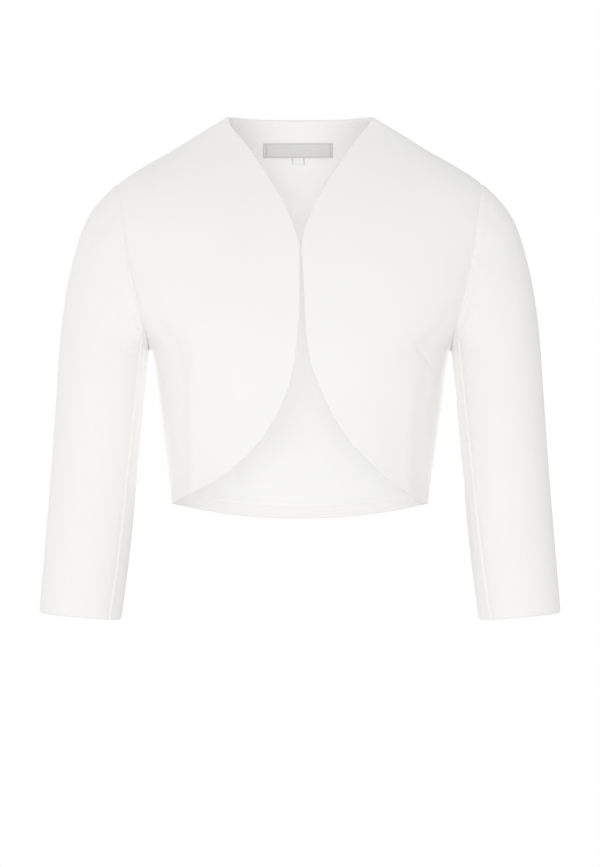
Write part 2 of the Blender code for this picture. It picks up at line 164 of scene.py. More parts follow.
# Level sections of the body: half_width reaches the shoulder line above the shoulder tip and the side seam below
# the underarm, and the armhole cuts the sections between them short.
BODY = table(
    "drop   half_width front_depth back_depth squareness",
    (0.000, 0.0756, 0.0100, 0.0520, 2.00),
    (0.014, 0.0990, 0.0210, 0.0610, 2.00),
    (0.035, 0.1328, 0.0370, 0.0730, 2.10),
    (0.056, 0.1690, 0.0510, 0.0810, 2.20),
    (0.071, 0.1900, 0.0600, 0.0860, 2.30),
    (0.090, 0.2015, 0.0710, 0.0910, 2.40),
    (0.115, 0.2050, 0.0830, 0.0960, 2.50),
    (0.140, 0.2030, 0.0930, 0.0990, 2.50),
    (0.165, 0.1970, 0.1020, 0.1000, 2.50),
    (0.195, 0.1870, 0.1100, 0.0990, 2.50),
    (0.220, 0.1740, 0.1150, 0.0970, 2.50),
    (0.241, 0.1575, 0.1175, 0.0950, 2.50),
    (0.262, 0.1533, 0.1185, 0.0925, 2.45),
    (0.300, 0.1484, 0.1170, 0.0885, 2.40),
    (0.340, 0.1428, 0.1135, 0.0850, 2.35),
    (0.380, 0.1373, 0.1090, 0.0820, 2.30),
    (0.424, 0.1325, 0.1050, 0.0810, 2.30),
)

# The front edge from the side-neck point, past where the fronts meet, round to the side seam. half_gap is half the
# distance between the two edges and shift moves both to the wearer's left.
FRONT_EDGE = table(
    "drop    half_gap shift",
    (0.0000, 0.0756, 0.0000),
    (0.0085, 0.0726, -0.0003),
    (0.0260, 0.0592, -0.0006),
    (0.0525, 0.0407, -0.0001),
    (0.0700, 0.0292, -0.0005),
    (0.0870, 0.0199, -0.0003),
    (0.1040, 0.0113, -0.0004),
    (0.1210, 0.0049, -0.0002),
    (0.1375, 0.0010, 0.0004),
    (0.1470, 0.0007, 0.0009),
    (0.1750, 0.0015, 0.0020),
    (0.2160, 0.0030, 0.0022),
    (0.2575, 0.0077, 0.0026),
    (0.2985, 0.0213, 0.0051),
    (0.3395, 0.0452, 0.0050),
    (0.3600, 0.0648, 0.0050),
    (0.3810, 0.0897, 0.0031),
    (0.3915, 0.1073, 0.0015),
    (0.4020, 0.1270, 0.0000),
    (0.4070, 0.1340, 0.0000),
)

# Rings of a sleeve from the armhole to the cuff. Each ring runs from its outer point to its inner point, and forward
# carries it towards the wearer's front, as the arm bends.
SLEEVE = table(
    "outer_reach outer_drop inner_reach inner_drop front_depth back_depth forward",
    (0.1900, 0.0710, 0.1575, 0.2410, 0.0580, 0.0580, 0.000),
    (0.2065, 0.0850, 0.1582, 0.2424, 0.0585, 0.0585, 0.000),
    (0.2240, 0.1087, 0.1588, 0.2440, 0.0580, 0.0590, 0.000),
    (0.2380, 0.1507, 0.1594, 0.2470, 0.0565, 0.0580, 0.001),
    (0.2465, 0.1927, 0.1600, 0.2520, 0.0545, 0.0560, 0.002),
    (0.2515, 0.2347, 0.1606, 0.2600, 0.0530, 0.0540, 0.003),
    (0.2557, 0.2977, 0.1643, 0.3020, 0.0500, 0.0510, 0.006),
    (0.2606, 0.3710, 0.1706, 0.3750, 0.0465, 0.0485, 0.011),
    (0.2662, 0.4447, 0.1770, 0.4490, 0.0430, 0.0445, 0.019),
    (0.2720, 0.5200, 0.1868, 0.5275, 0.0400, 0.0405, 0.028),
)
BICEP_ROW = 5
CUFF_ROW = len(SLEEVE["forward"]) - 1

# The two long seams of a sleeve, as angles round the ring: 0 is outermost, a right angle is the front and a straight
# angle is innermost. station counts rows of the sleeve's table.
SLEEVE_SEAMS = table(
    "station front_seam back_seam",
    (0.0, math.pi * 9 / 11, math.pi * 15 / 11),
    (5.0, 2.56, 4.33),
    (7.0, 2.47, 4.36),
    (9.0, 2.37, 4.40),
)

# Creases lie along the line between two ends, bowed to one side by bow. A depth below zero is a ridge. The first
# rows of each table are the dart and the main folds, alike on both sides.
FOLD_COLUMNS = "across_from down_from across_to down_to half_width depth bow"
FRONT_MAIN_FOLDS = (
    (0.84, 0.245, 1.50, 0.288, 0.0070, 0.0007, 0.000),
    (1.02, 0.196, 1.30, 0.236, 0.0110, 0.0006, 0.000),
    (0.95, 0.330, 1.15, 0.392, 0.0150, 0.0007, 0.000),
)
FRONT_FOLDS = {
    "right": table(
        FOLD_COLUMNS,
        *FRONT_MAIN_FOLDS,
        (0.57, 0.212, 0.70, 0.262, 0.0090, -0.0013, 0.002),
        (0.70, 0.256, 0.94, 0.398, 0.0130, -0.0017, 0.000),
        (0.93, 0.190, 0.84, 0.268, 0.0120, 0.0015, 0.003),
        (0.62, 0.095, 1.05, 0.150, 0.0150, 0.0004, 0.006),
        (0.30, 0.120, 0.42, 0.190, 0.0180, 0.0004, -0.005),
        (0.40, 0.262, 0.66, 0.292, 0.0120, 0.0003, -0.003),
    ),
    "left": table(
        FOLD_COLUMNS,
        *FRONT_MAIN_FOLDS,
        (0.96, 0.198, 0.84, 0.246, 0.0140, 0.0013, 0.004),
        (0.775, 0.2425, 1.02, 0.2615, 0.0028, 0.0015, 0.000),
        (0.82, 0.2320, 1.04, 0.2440, 0.0045, 0.0006, 0.000),
        (0.95, 0.266, 1.02, 0.298, 0.0100, 0.0010, 0.000),
        (0.76, 0.275, 0.96, 0.396, 0.0130, -0.0013, 0.000),
        (0.55, 0.088, 0.92, 0.138, 0.0160, 0.0004, 0.005),
        (0.34, 0.135, 0.50, 0.205, 0.0170, 0.0004, 0.006),
    ),
}
SLEEVE_MAIN_FOLDS = (
    (1.10, 3.2, 2.30, 4.6, 0.0130, 0.0004, 0.000),
    (1.30, 6.7, 2.60, 7.2, 0.0120, 0.0005, 0.000),
    (1.60, 7.5, 2.70, 7.2, 0.0100, 0.0004, 0.000),
    (4.70, 4.6, 5.60, 3.2, 0.0140, 0.0011, 0.000),
    (4.50, 7.2, 5.50, 6.8, 0.0120, 0.0010, 0.000),
)
SLEEVE_FOLDS = {
    "right": table(
        FOLD_COLUMNS,
        *SLEEVE_MAIN_FOLDS,
        (0.60, 2.6, 1.70, 4.2, 0.0100, 0.0003, 0.005),
        (0.50, 5.6, 1.60, 6.4, 0.0120, 0.0003, -0.004),
        (0.90, 7.6, 2.10, 8.0, 0.0110, 0.0003, 0.004),
        (5.10, 5.6, 6.00, 5.1, 0.0120, 0.0010, 0.005),
        (4.80, 7.9, 5.70, 7.6, 0.0100, 0.0009, -0.004),
        (3.20, 6.0, 4.00, 6.3, 0.0080, 0.0008, 0.002),
        (3.00, 6.9, 3.90, 6.8, 0.0080, 0.0009, -0.002),
    ),
    "left": table(
        FOLD_COLUMNS,
        *SLEEVE_MAIN_FOLDS,
        (1.95, 4.3, 2.35, 4.5, 0.0045, 0.0004, 0.001),
        (2.94, 7.3, 3.02, 8.2, 0.0060, 0.0014, 0.000),
        (0.70, 2.4, 1.60, 3.9, 0.0110, 0.0003, -0.004),
        (0.55, 5.9, 1.70, 6.3, 0.0120, 0.0003, 0.004),
        (5.00, 5.3, 5.90, 5.0, 0.0130, 0.0011, -0.005),
        (4.90, 7.6, 5.80, 7.9, 0.0100, 0.0008, 0.004),
        (3.10, 5.8, 3.90, 5.9, 0.0080, 0.0008, -0.002),
        (3.00, 7.1, 4.00, 7.3, 0.0080, 0.0009, 0.002),
    ),
}

# Folds of the back hang from the shoulder blades, pull towards the armholes and gather at the waist. across is an
# angle that is below zero on the wearer's right.
BACK_FOLDS = table(
    FOLD_COLUMNS,
    (-0.95, 0.120, -0.62, 0.225, 0.0130, 0.0022, 0.006),
    (0.90, 0.112, 0.58, 0.215, 0.0140, 0.0024, -0.007),
    (-1.12, 0.180, -0.98, 0.262, 0.0100, 0.0019, 0.003),
    (1.14, 0.172, 1.02, 0.270, 0.0090, 0.0017, -0.003),
    (-0.52, 0.275, -0.46, 0.385, 0.0120, 0.0021, -0.004),
    (0.44, 0.262, 0.52, 0.380, 0.0130, 0.0023, 0.004),
    (-0.18, 0.300, -0.14, 0.392, 0.0110, 0.0014, 0.003),
    (0.16, 0.310, 0.20, 0.398, 0.0100, 0.0012, -0.002),
    (-0.34, 0.060, 0.32, 0.066, 0.0120, 0.0009, 0.005),
    (-1.20, 0.300, -0.86, 0.345, 0.0100, 0.0015, 0.003),
    (1.18, 0.312, 0.84, 0.350, 0.0110, 0.0017, -0.004),
)

# Slack of the lining: soft ripples, each towards the wearer.
LINING_FOLDS = table(
    FOLD_COLUMNS,
    (-0.62, 0.250, -0.50, 0.380, 0.0130, 0.0010, 0.005),
    (-0.30, 0.215, -0.24, 0.372, 0.0120, 0.0007, -0.004),
    (0.06, 0.240, 0.02, 0.384, 0.0140, 0.0008, 0.004),
    (0.34, 0.205, 0.40, 0.366, 0.0110, 0.0008, 0.005),
    (0.66, 0.260, 0.56, 0.388, 0.0130, 0.0010, -0.004),
    (-0.46, 0.330, 0.10, 0.352, 0.0100, 0.0006, 0.006),
    (0.16, 0.330, 0.62, 0.318, 0.0100, 0.0007, -0.005),
    (-0.52, 0.095, -0.40, 0.190, 0.0140, 0.0006, 0.004),
    (0.50, 0.090, 0.40, 0.185, 0.0130, 0.0006, -0.004),
    (-1.00, 0.150, -0.84, 0.300, 0.0140, 0.0010, 0.006),
    (1.02, 0.160, 0.86, 0.290, 0.0140, 0.0010, -0.006),
)
# Metres to one unit across and one unit down in the tables of folds. Folds fade out over a share of their length at
# each end, over an angle before a seam, and over rows of the sleeve's table below the armhole.
BODY_FOLD_SCALE = (0.14, 1.0)
SLEEVE_FOLD_SCALE = (0.046, 0.060)
FOLD_END_FADE = 0.25
BODY_FOLD_FADE = 0.12
SLEEVE_FOLD_FADE = 0.2
ARMHOLE_FOLD_FADE = 1.5

# Ease along the seams: waves of unlike lengths, so that no two puckers are alike, set off from seam to seam.
BACK_SEAM_SHIFT = 0.7
LONG_SEAM_SHIFT = 2.0
ARMHOLE_SEAM_SHIFT = 4.0
SEAM_WAVES = table(
    "length phase share",
    (0.0117, 0.4, 0.40),
    (0.0171, 2.1, 0.35),
    (0.0263, 4.0, 0.30),
    (0.0439, 1.2, 0.35),
)
ROLL_DEPTH = 0.00022
ROLL_REACH = 0.0024
LONG_SEAM_ROLL = 3.0
LONG_SEAM_RIDGE = 0.0007
LONG_SEAM_RIDGE_AT = 0.0024
LONG_SEAM_RIDGE_REACH = 0.0020
LEAN_REACH = 0.0030
LEAN_UNDERARM_FADE = 0.5
PUCKER_HEIGHT = 0.00013
PUCKER_AT = 0.004
PUCKER_REACH = 0.010
CAP_LIFT = 0.0010
CAP_LIFT_AT = 0.0036
CAP_LIFT_REACH = 0.006

# The armhole seam lies in a hollow that grows over an angle from the shoulder tip and ends before the underarm
HOLLOW_DEPTH = 0.0016
HOLLOW_REACH = 0.0090
HOLLOW_SLEEVE_REACH = 0.0022
HOLLOW_GROWS_FROM = 0.475
HOLLOW_GROWS_OVER = 1.9
HOLLOW_ENDS_BEFORE = 0.40
HOLLOW_ENDS_OVER = 0.5

# Cloth that settles round the underarms
SETTLE_RIGHT = 0.0036
SETTLE_LEFT = 0.0040
SETTLE_ACROSS = 0.010
SETTLE_DOWN = 0.009
SETTLE_DEPTH = 0.036
SETTLE_SOFT = 0.014

# Turned edges and hems. The back's neck edge stands up most at an angle from each shoulder seam.
TURNING_WIDTH = 0.0075
TURNING_STEP = 0.00012
TURNING_SOFT = 0.006
NECK_LIFT = 0.0004
NECK_LIFT_REACH = 0.010
NECK_LIFT_FADE = 0.28
NECK_CORNER_LIFT = 0.0010
NECK_CORNER_AT = 0.47
NECK_CORNER_SPREAD = 0.30
CUFF_HEM_DEPTH = 0.038
CUFF_TUCK = 0.0012
CUFF_TUCK_REACH = 0.0030
CUFF_TUCK_LIMIT = 0.97
HEM_STEP_SOFT = 0.004

# How far cloth looks pressed from each kind of edge. On the label's lower edge and the tab's long edges the mask also
# paints shade into the colour.
SEAM_PRESS = 0.006
TURNED_PRESS = 0.009
HEM_PRESS = 0.012
CUFF_PRESS = 0.010
ARMHOLE_PRESS_SHARE = 0.7
FELL_PRESS = 0.006
LINING_NECK_PRESS = 0.008
LABEL_STITCH_PRESS = 0.0008
LABEL_LOW_SHADE_AT = 0.0010
LABEL_LOW_SHADE_REACH = 0.0009
TAB_EDGE_SHADE_REACH = 0.0009


# Curves, lengths and creases


def curve_through(knots, values, at):
    """Smooth curve through the knots that never overshoots them: a monotone Fritsch-Carlson cubic."""
    at = np.clip(np.asarray(at, float), knots[0], knots[-1])
    step = np.diff(knots)
    rise = np.diff(values) / step
    same_way = rise[:-1] * rise[1:] > 0
    weight_in = 2 * step[1:] + step[:-1]
    weight_out = step[1:] + 2 * step[:-1]
    safe_in = np.where(same_way, rise[:-1], 1.0)
    safe_out = np.where(same_way, rise[1:], 1.0)
    mean = (weight_in + weight_out) / (weight_in / safe_in + weight_out / safe_out)
    slope = np.concatenate([[rise[0]], np.where(same_way, mean, 0.0), [rise[-1]]])
    i = np.clip(np.searchsorted(knots, at, side="right") - 1, 0, len(step) - 1)
    u = (at - knots[i]) / step[i]
    return (
        values[i] * (1 + 2 * u) * (1 - u) ** 2
        + slope[i] * step[i] * u * (1 - u) ** 2
        + values[i + 1] * u**2 * (3 - 2 * u)
        + slope[i + 1] * step[i] * u**2 * (u - 1)
    )


def at_drop(rows, column, drop):
    return curve_through(rows["drop"], rows[column], drop)


def smooth_step(u):
    u = np.clip(u, 0.0, 1.0)
    return u * u * (3 - 2 * u)


def bell(distance, width):
    return np.exp(-((distance / width) ** 2))


def unit(vectors):
    size = np.linalg.norm(vectors, axis=-1, keepdims=True)
    return vectors / np.where(size > 0, size, 1.0)


def lengths(points, axis=1):
    """Length run along each row (axis 1) or column (axis 0) of a grid of points, from its first point."""
    steps = np.linalg.norm(np.diff(points, axis=axis), axis=-1)
    start = np.zeros_like(np.take(steps, [0], axis=axis))
    return np.concatenate([start, np.cumsum(steps, axis=axis)], axis=axis)


def read_rows(at, places, values):
    """Values at given places along each row, by straight lines between its samples.

    The rows are laid end to end, each moved on by more than the longest, so that one interpolation reads them all.
    """
    ahead = np.arange(len(places))[:, None] * (2 * np.abs(places).max() + 1)
    return np.interp((at + ahead).ravel(), (places + ahead).ravel(), values.ravel()).reshape(at.shape)


def spaced(points, columns, inset, crowd=(1, 1)):
    """Places of columns along each row of points, counted in the row's own samples.

    Columns are even in a measure: the length along the row, plus CROWD * exp(-distance / CROWD_REACH) towards each
    crowded end. Each row starts and stops its inset short of its ends, or a third of its length where it is short.
    """
    run = lengths(points)
    total = run[:, -1:]
    left = total - run
    extra = crowd[1] * np.exp(-left / CROWD_REACH) - crowd[0] * np.exp(-run / CROWD_REACH)
    measure = run + CROWD * extra
    first = np.minimum(inset[0], total / 3)
    last = total - np.minimum(inset[1], total / 3)
    sample = np.broadcast_to(np.arange(points.shape[1], dtype=float), run.shape)
    ends = [read_rows(end, run, measure) for end in (first, last)]
    wanted = ends[0] + (ends[1] - ends[0]) * np.linspace(0, 1, columns + 1)
    return read_rows(wanted, measure, sample)


def creases(folds, across, down, scale):
    """Sum of soft troughs along bowed lines, each a bell across its line that fades out at both ends."""
    total = np.zeros(np.broadcast(across, down).shape)
    for across_from, down_from, across_to, down_to, half_width, depth, bow in zip(*folds.values()):
        start = across_from * scale[0], down_from * scale[1]
        line = across_to * scale[0] - start[0], down_to * scale[1] - start[1]
        length = math.hypot(*line)
        side, ahead = across * scale[0] - start[0], down * scale[1] - start[1]
        u = (side * line[0] + ahead * line[1]) / length**2
        v = (side * line[1] - ahead * line[0]) / length - bow * 4 * u * (1 - u)
        ends = smooth_step(u / FOLD_END_FADE + 0.5) * smooth_step((1 - u) / FOLD_END_FADE + 0.5)
        total += depth * ends * bell(v, half_width)
    return total


def seam_form(distance, along, shift=0.0, roll=1.0):
    """Height of cloth beside a seam: it rolls down towards the stitches and puckers unevenly along them.

    The puckers die away at the stitches, so that both sides of a seam meet at one height.
    """
    waves = zip(*SEAM_WAVES.values())
    wave = sum(share * np.sin(math.tau * along / length + phase + shift) for length, phase, share in waves)
    pucker = PUCKER_HEIGHT * wave * bell(distance - PUCKER_AT, PUCKER_REACH) * smooth_step(distance / PUCKER_AT)
    return pucker - roll * ROLL_DEPTH * np.exp(-distance / ROLL_REACH)


def lean(normals, seam_normals, distance, share=1.0):
    """Normals that turn towards a seam's own as they near it, so that both edges of the seam face each other."""
    weight = (share * np.exp(-distance / LEAN_REACH))[..., None]
    return unit(normals * (1 - weight) + seam_normals * weight)


def turned_step(distance, depth, soft, height):
    """Height over a turned-in allowance: a low even step that ends softly at its depth from the edge."""
    return height * smooth_step((depth + soft / 2 - distance) / soft)


# Body and sleeve forms


def body_surface(angle, drop, face):
    """Points and outward normals at section angles from the middle of the front or back, 0, to the side.

    A level section is a superellipse: x = width * sin(angle) ** (2 / squareness), y = depth * cos(angle) ** the same.
    The normal is the gradient of the sections' level set.
    """
    angle, drop = np.broadcast_arrays(np.asarray(angle, float), np.asarray(drop, float))
    depth_name = "front_depth" if face == FRONT else "back_depth"
    width, depth = at_drop(BODY, "half_width", drop), at_drop(BODY, depth_name, drop)
    power = at_drop(BODY, "squareness", drop)
    x = width * np.sign(angle) * np.abs(np.sin(angle)) ** (2 / power)
    y = face * depth * np.abs(np.cos(angle)) ** (2 / power)

    def level_set(at):
        wide, deep = at_drop(BODY, "half_width", at), at_drop(BODY, depth_name, at)
        bend = at_drop(BODY, "squareness", at)
        return (np.abs(x) / wide) ** bend + (np.abs(y) / deep) ** bend

    step = 0.0005
    low, high = np.clip(drop - step, 0, None), drop + step
    normal = np.stack(
        [
            power * np.sign(x) * np.abs(x) ** (power - 1) / width**power,
            power * np.sign(y) * np.abs(y) ** (power - 1) / depth**power,
            -(level_set(high) - level_set(low)) / (high - low),
        ],
        axis=-1,
    )
    return np.stack([x, y, -drop], axis=-1), unit(normal)


def section_angle(reach, drop):
    """The section angle of a point that lies at this reach from the middle."""
    width, power = at_drop(BODY, "half_width", drop), at_drop(BODY, "squareness", drop)
    return np.arcsin(np.clip(reach / width, 0, 1) ** (power / 2))


def armhole_reach(drop):
    """How far out the armhole seam lies: straight from shoulder tip to underarm, with a slight bulge."""
    u = np.clip((drop - SHOULDER_TIP_DROP) / (UNDERARM_DROP - SHOULDER_TIP_DROP), 0, 1)
    straight = SHOULDER_TIP_REACH + (UNDERARM_REACH - SHOULDER_TIP_REACH) * u
    return straight + ARMHOLE_BULGE * np.sin(math.pi * u)


def outer_angle(drop):
    """The section angle where a panel ends: at the shoulder seam, the armhole or the side seam."""
    in_armhole = (drop > SHOULDER_TIP_DROP) & (drop < UNDERARM_DROP)
    return np.where(in_armhole, section_angle(armhole_reach(drop), drop), math.pi / 2)


def front_edge_angle(drop, side):
    reach = at_drop(FRONT_EDGE, "half_gap", drop) + side * at_drop(FRONT_EDGE, "shift", drop)
    return section_angle(reach, drop)


def panel_levels(first, last):
    """Levels of a panel's rows at its outer seam and in its middle, with a row at each end of the armhole.

    Along the armhole the seam's levels follow (1 - cos) / 2 and the middle's are even.
    """
    shoulder = np.linspace(first, SHOULDER_TIP_DROP, SHOULDER_ROWS, endpoint=False)
    even = np.linspace(0, 1, ARMHOLE_ROWS, endpoint=False)
    side = np.linspace(UNDERARM_DROP, last, SIDE_ROWS + 1)
    shares = (1 - np.cos(math.pi * even)) / 2, even
    armholes = (SHOULDER_TIP_DROP + (UNDERARM_DROP - SHOULDER_TIP_DROP) * share for share in shares)
    return tuple(np.concatenate([shoulder, armhole, side]) for armhole in armholes)


def panel_grid(angles, drops, face, columns, inset, crowd):
    """Section angles and drops of a panel's grid. Along a row the angle follows the share of the way from the first
    end to the last, and the drop follows the share's square."""
    (first_angle, last_angle), (first_drop, last_drop) = angles, drops

    def along(share):
        angle = first_angle[:, None] + (last_angle - first_angle)[:, None] * share
        return angle, first_drop[:, None] + (last_drop - first_drop)[:, None] * share**2

    points, _ = body_surface(*along(np.linspace(0, 1, SAMPLES)), face)
    return along(spaced(points, columns, inset, crowd) / (SAMPLES - 1))


def hem_drop(angle, drop):
    """Levels below the underarm are let down towards the middle of the back, fully at the hem."""
    share = smooth_step((drop - UNDERARM_DROP) / (SIDE_HEM_DROP - UNDERARM_DROP))
    return drop + HEM_DIP * share * np.cos(angle) ** 2


def armhole_ring(angle):
    """Points and normals of the body along the armhole seam, by ring angle: 0 at the shoulder tip, then the front."""
    middle = (SHOULDER_TIP_DROP + UNDERARM_DROP) / 2
    drop = middle - (UNDERARM_DROP - SHOULDER_TIP_DROP) / 2 * np.cos(angle)
    section = section_angle(armhole_reach(drop), drop)
    ahead = (np.sin(angle) >= 0)[..., None]
    return tuple(
        np.where(ahead, front, back)
        for front, back in zip(body_surface(section, drop, FRONT), body_surface(section, drop, BACK))
    )


def armhole_lean(angle):
    """Normals of the armhole seam, half-way between the body's and the sleeve's, and their share.

    The share fades out at the underarm, where body and sleeve lie face to face.
    """
    _, body = armhole_ring(angle)
    _, sleeve = sleeve_surface(angle, np.zeros_like(angle))
    return unit(body + sleeve), smooth_step(np.abs(angle % math.tau - math.pi) / LEAN_UNDERARM_FADE)


def plain_ring(angle, station):
    """Points of an oval ring at a station of the sleeve's table: half ovals of unlike depth, front and back."""
    rows = np.arange(CUFF_ROW + 1.0)
    at = {name: curve_through(rows, values, station) for name, values in SLEEVE.items()}
    depth = np.where(np.sin(angle) >= 0, at["front_depth"], at["back_depth"])
    outward = (1 + np.cos(angle)) / 2
    reach = at["inner_reach"] + (at["outer_reach"] - at["inner_reach"]) * outward
    drop = at["inner_drop"] + (at["outer_drop"] - at["inner_drop"]) * outward
    return np.stack([reach, -at["forward"] - depth * np.sin(angle), -drop], axis=-1)


def armhole_hollow(angle):
    """How deep the armhole seam lies, by ring angle: deepest low down, and level at the shoulder and the underarm."""
    down = math.pi - np.abs(angle % math.tau - math.pi)
    grown = smooth_step((down - HOLLOW_GROWS_FROM) / HOLLOW_GROWS_OVER)
    return HOLLOW_DEPTH * grown * smooth_step((math.pi - down - HOLLOW_ENDS_BEFORE) / HOLLOW_ENDS_OVER)


def sleeve_points(angle, station):
    """Points of the sleeve: oval rings that take up the armhole's own shape towards the seam."""
    angle, station = np.broadcast_arrays(angle, station)
    at_seam = 1 - smooth_step(station / BICEP_ROW)
    correction = armhole_ring(angle)[0] - plain_ring(angle, np.zeros_like(station))
    return plain_ring(angle, station) + at_seam[..., None] * correction


def sleeve_surface(angle, station):
    """Points and outward normals of the sleeve, the normals from small steps along and round it."""
    step = 0.002
    round_it = sleeve_points(angle + step, station) - sleeve_points(angle - step, station)
    low, high = np.clip(station - step, 0, None), np.clip(station + step, None, CUFF_ROW)
    along_it = sleeve_points(angle, high) - sleeve_points(angle, low)
    return sleeve_points(angle, station), unit(np.cross(round_it, along_it))


def settled(points):
    """Points moved down where the cloth settles round an underarm: by a bell across and down from the underarm, even
    from front to back as far as SETTLE_DEPTH less SETTLE_SOFT."""
    x, y, z = np.moveaxis(points, -1, 0)
    near = bell(np.abs(x) - UNDERARM_REACH, SETTLE_ACROSS) * bell(z + UNDERARM_DROP, SETTLE_DOWN)
    near = near * smooth_step((SETTLE_DEPTH - np.abs(y)) / SETTLE_SOFT)
    return np.stack([x, y, z - np.where(x < 0, SETTLE_RIGHT, SETTLE_LEFT) * near], axis=-1)


# Meshes


def mesh_object(name, points, faces, material):
    """A smooth-shaded object at the origin from an array of points and an array of equal-sided faces."""
    mesh = bpy.data.meshes.new(name)
    mesh.vertices.add(len(points))
    mesh.vertices.foreach_set("co", points.astype(np.float32).ravel())
    mesh.loops.add(faces.size)
    mesh.loops.foreach_set("vertex_index", faces.astype(np.int32).ravel())
    mesh.polygons.add(len(faces))
    mesh.polygons.foreach_set("loop_start", np.arange(0, faces.size, faces.shape[1], dtype=np.int32))
    mesh.update(calc_edges=True)
    mesh.shade_smooth()
    mesh.materials.append(material)
    piece = bpy.data.objects.new(name, mesh)
    bpy.context.scene.collection.objects.link(piece)
    return piece


def grid_quads(index):
    return np.stack([index[:-1, :-1], index[:-1, 1:], index[1:, 1:], index[1:, :-1]], -1).reshape(-1, 4)


def cloth_shell(name, outer, normals, thick, edges, press, material):
    """A closed cloth shell: a grid, the same grid moved in by the thickness, and a half-round rim between them.

    edges gives the bulge and fullness of the rim at the top, bottom, first and last side of the grid. A rim point at
    turn a lies thick * (1 - cos a) / 2 inside the border and bulge * sin(a) ** fullness beyond it. Seams keep a crisp
    edge, so that their rims don't shade the cloth beside them. press is a mask of pressed cloth, which some finishes
    also darken as painted shade.
    """
    rows, columns = outer.shape[:2]
    beyond, fullness = np.zeros_like(outer), np.ones(outer.shape[:2] + (1,))
    sides = (
        (np.s_[0], np.s_[1]),
        (np.s_[-1], np.s_[-2]),
        (np.s_[:, 0], np.s_[:, 1]),
        (np.s_[:, -1], np.s_[:, -2]),
    )
    for (bulge, full), (at, before) in zip(edges, sides):
        beyond[at] += bulge * unit(outer[at] - outer[before])
        fullness[at] = full
    index = np.arange(rows * columns).reshape(rows, columns)
    border = np.concatenate([index[0, :-1], index[:-1, -1], index[-1, :0:-1], index[:0:-1, 0]])
    edge, edge_normal, edge_beyond = (grid.reshape(-1, 3)[border] for grid in (outer, normals, beyond))
    turns = math.pi * np.arange(1, RIM_STEPS)[:, None, None] / RIM_STEPS
    bulges = np.sin(turns) ** fullness.reshape(-1, 1)[border]
    rim = edge - edge_normal * thick * (1 - np.cos(turns)) / 2 + edge_beyond * bulges
    points = np.concatenate([outer.reshape(-1, 3), (outer - normals * thick).reshape(-1, 3), rim.reshape(-1, 3)])
    inner_start, rim_start = rows * columns, 2 * rows * columns
    rim_index = rim_start + np.arange(rim.shape[0] * len(border)).reshape(-1, len(border))
    loops = np.concatenate([border[None], rim_index, border[None] + inner_start])
    loops = np.concatenate([loops, loops[:, :1]], axis=1)
    quads = grid_quads(index)
    faces = np.concatenate([quads, quads[:, ::-1] + inner_start, grid_quads(loops)[:, ::-1]])
    middle = quads[len(quads) // 2]
    across = np.cross(points[middle[1]] - points[middle[0]], points[middle[3]] - points[middle[0]])
    if across @ normals.reshape(-1, 3)[middle[0]] < 0:
        faces = faces[:, ::-1]
    piece = mesh_object(name, points, faces, material)

    ends = np.empty(2 * len(piece.data.edges), np.int32)
    piece.data.edges.foreach_get("vertices", ends)
    at_seam = np.zeros(len(points), bool)
    at_seam[border] = fullness.ravel()[border] == SEAM_EDGE[1]
    crisp = piece.data.attributes.new("sharp_edge", "BOOLEAN", "EDGE")
    crisp.data.foreach_set("value", at_seam[ends.reshape(-1, 2)].all(axis=1))

    source = np.concatenate([index.ravel(), index.ravel(), np.tile(border, len(rim))])
    grain = np.stack([lengths(outer), lengths(outer, axis=0)], axis=-1).reshape(-1, 2)[source]
    layer = piece.data.uv_layers.new(name="grain")
    layer.uv.foreach_set("vector", grain[faces.ravel()].astype(np.float32).ravel())
    pressed = piece.data.attributes.new("press", "FLOAT", "POINT")
    pressed.data.foreach_set("value", press.ravel()[source].astype(np.float32))
    return piece


def sampled(grid, rows, columns):
    """Points of a grid at rows and columns that may lie between its own, by straight lines both ways."""
    rows, columns = np.broadcast_arrays(rows, columns)
    row, column = (np.clip(at.astype(int), 0, size - 2) for at, size in zip((rows, columns), grid.shape))
    down, over = (rows - row)[..., None], (columns - column)[..., None]
    above = grid[row, column] * (1 - over) + grid[row, column + 1] * over
    below = grid[row + 1, column] * (1 - over) + grid[row + 1, column + 1] * over
    return above * (1 - down) + below * down


def mirrored(points, side):
    return points * np.array((side, 1, 1))


def shell_panel(name, side, surface, normals, rise, edges, press):
    """A panel of the shell: its surface raised along the normals, put on its side of the wearer and settled."""
    points = settled(mirrored(surface + normals * rise[..., None], side))
    return cloth_shell(name, points, mirrored(normals, side), SHELL_THICK, edges, press, SHELL_CREPE)


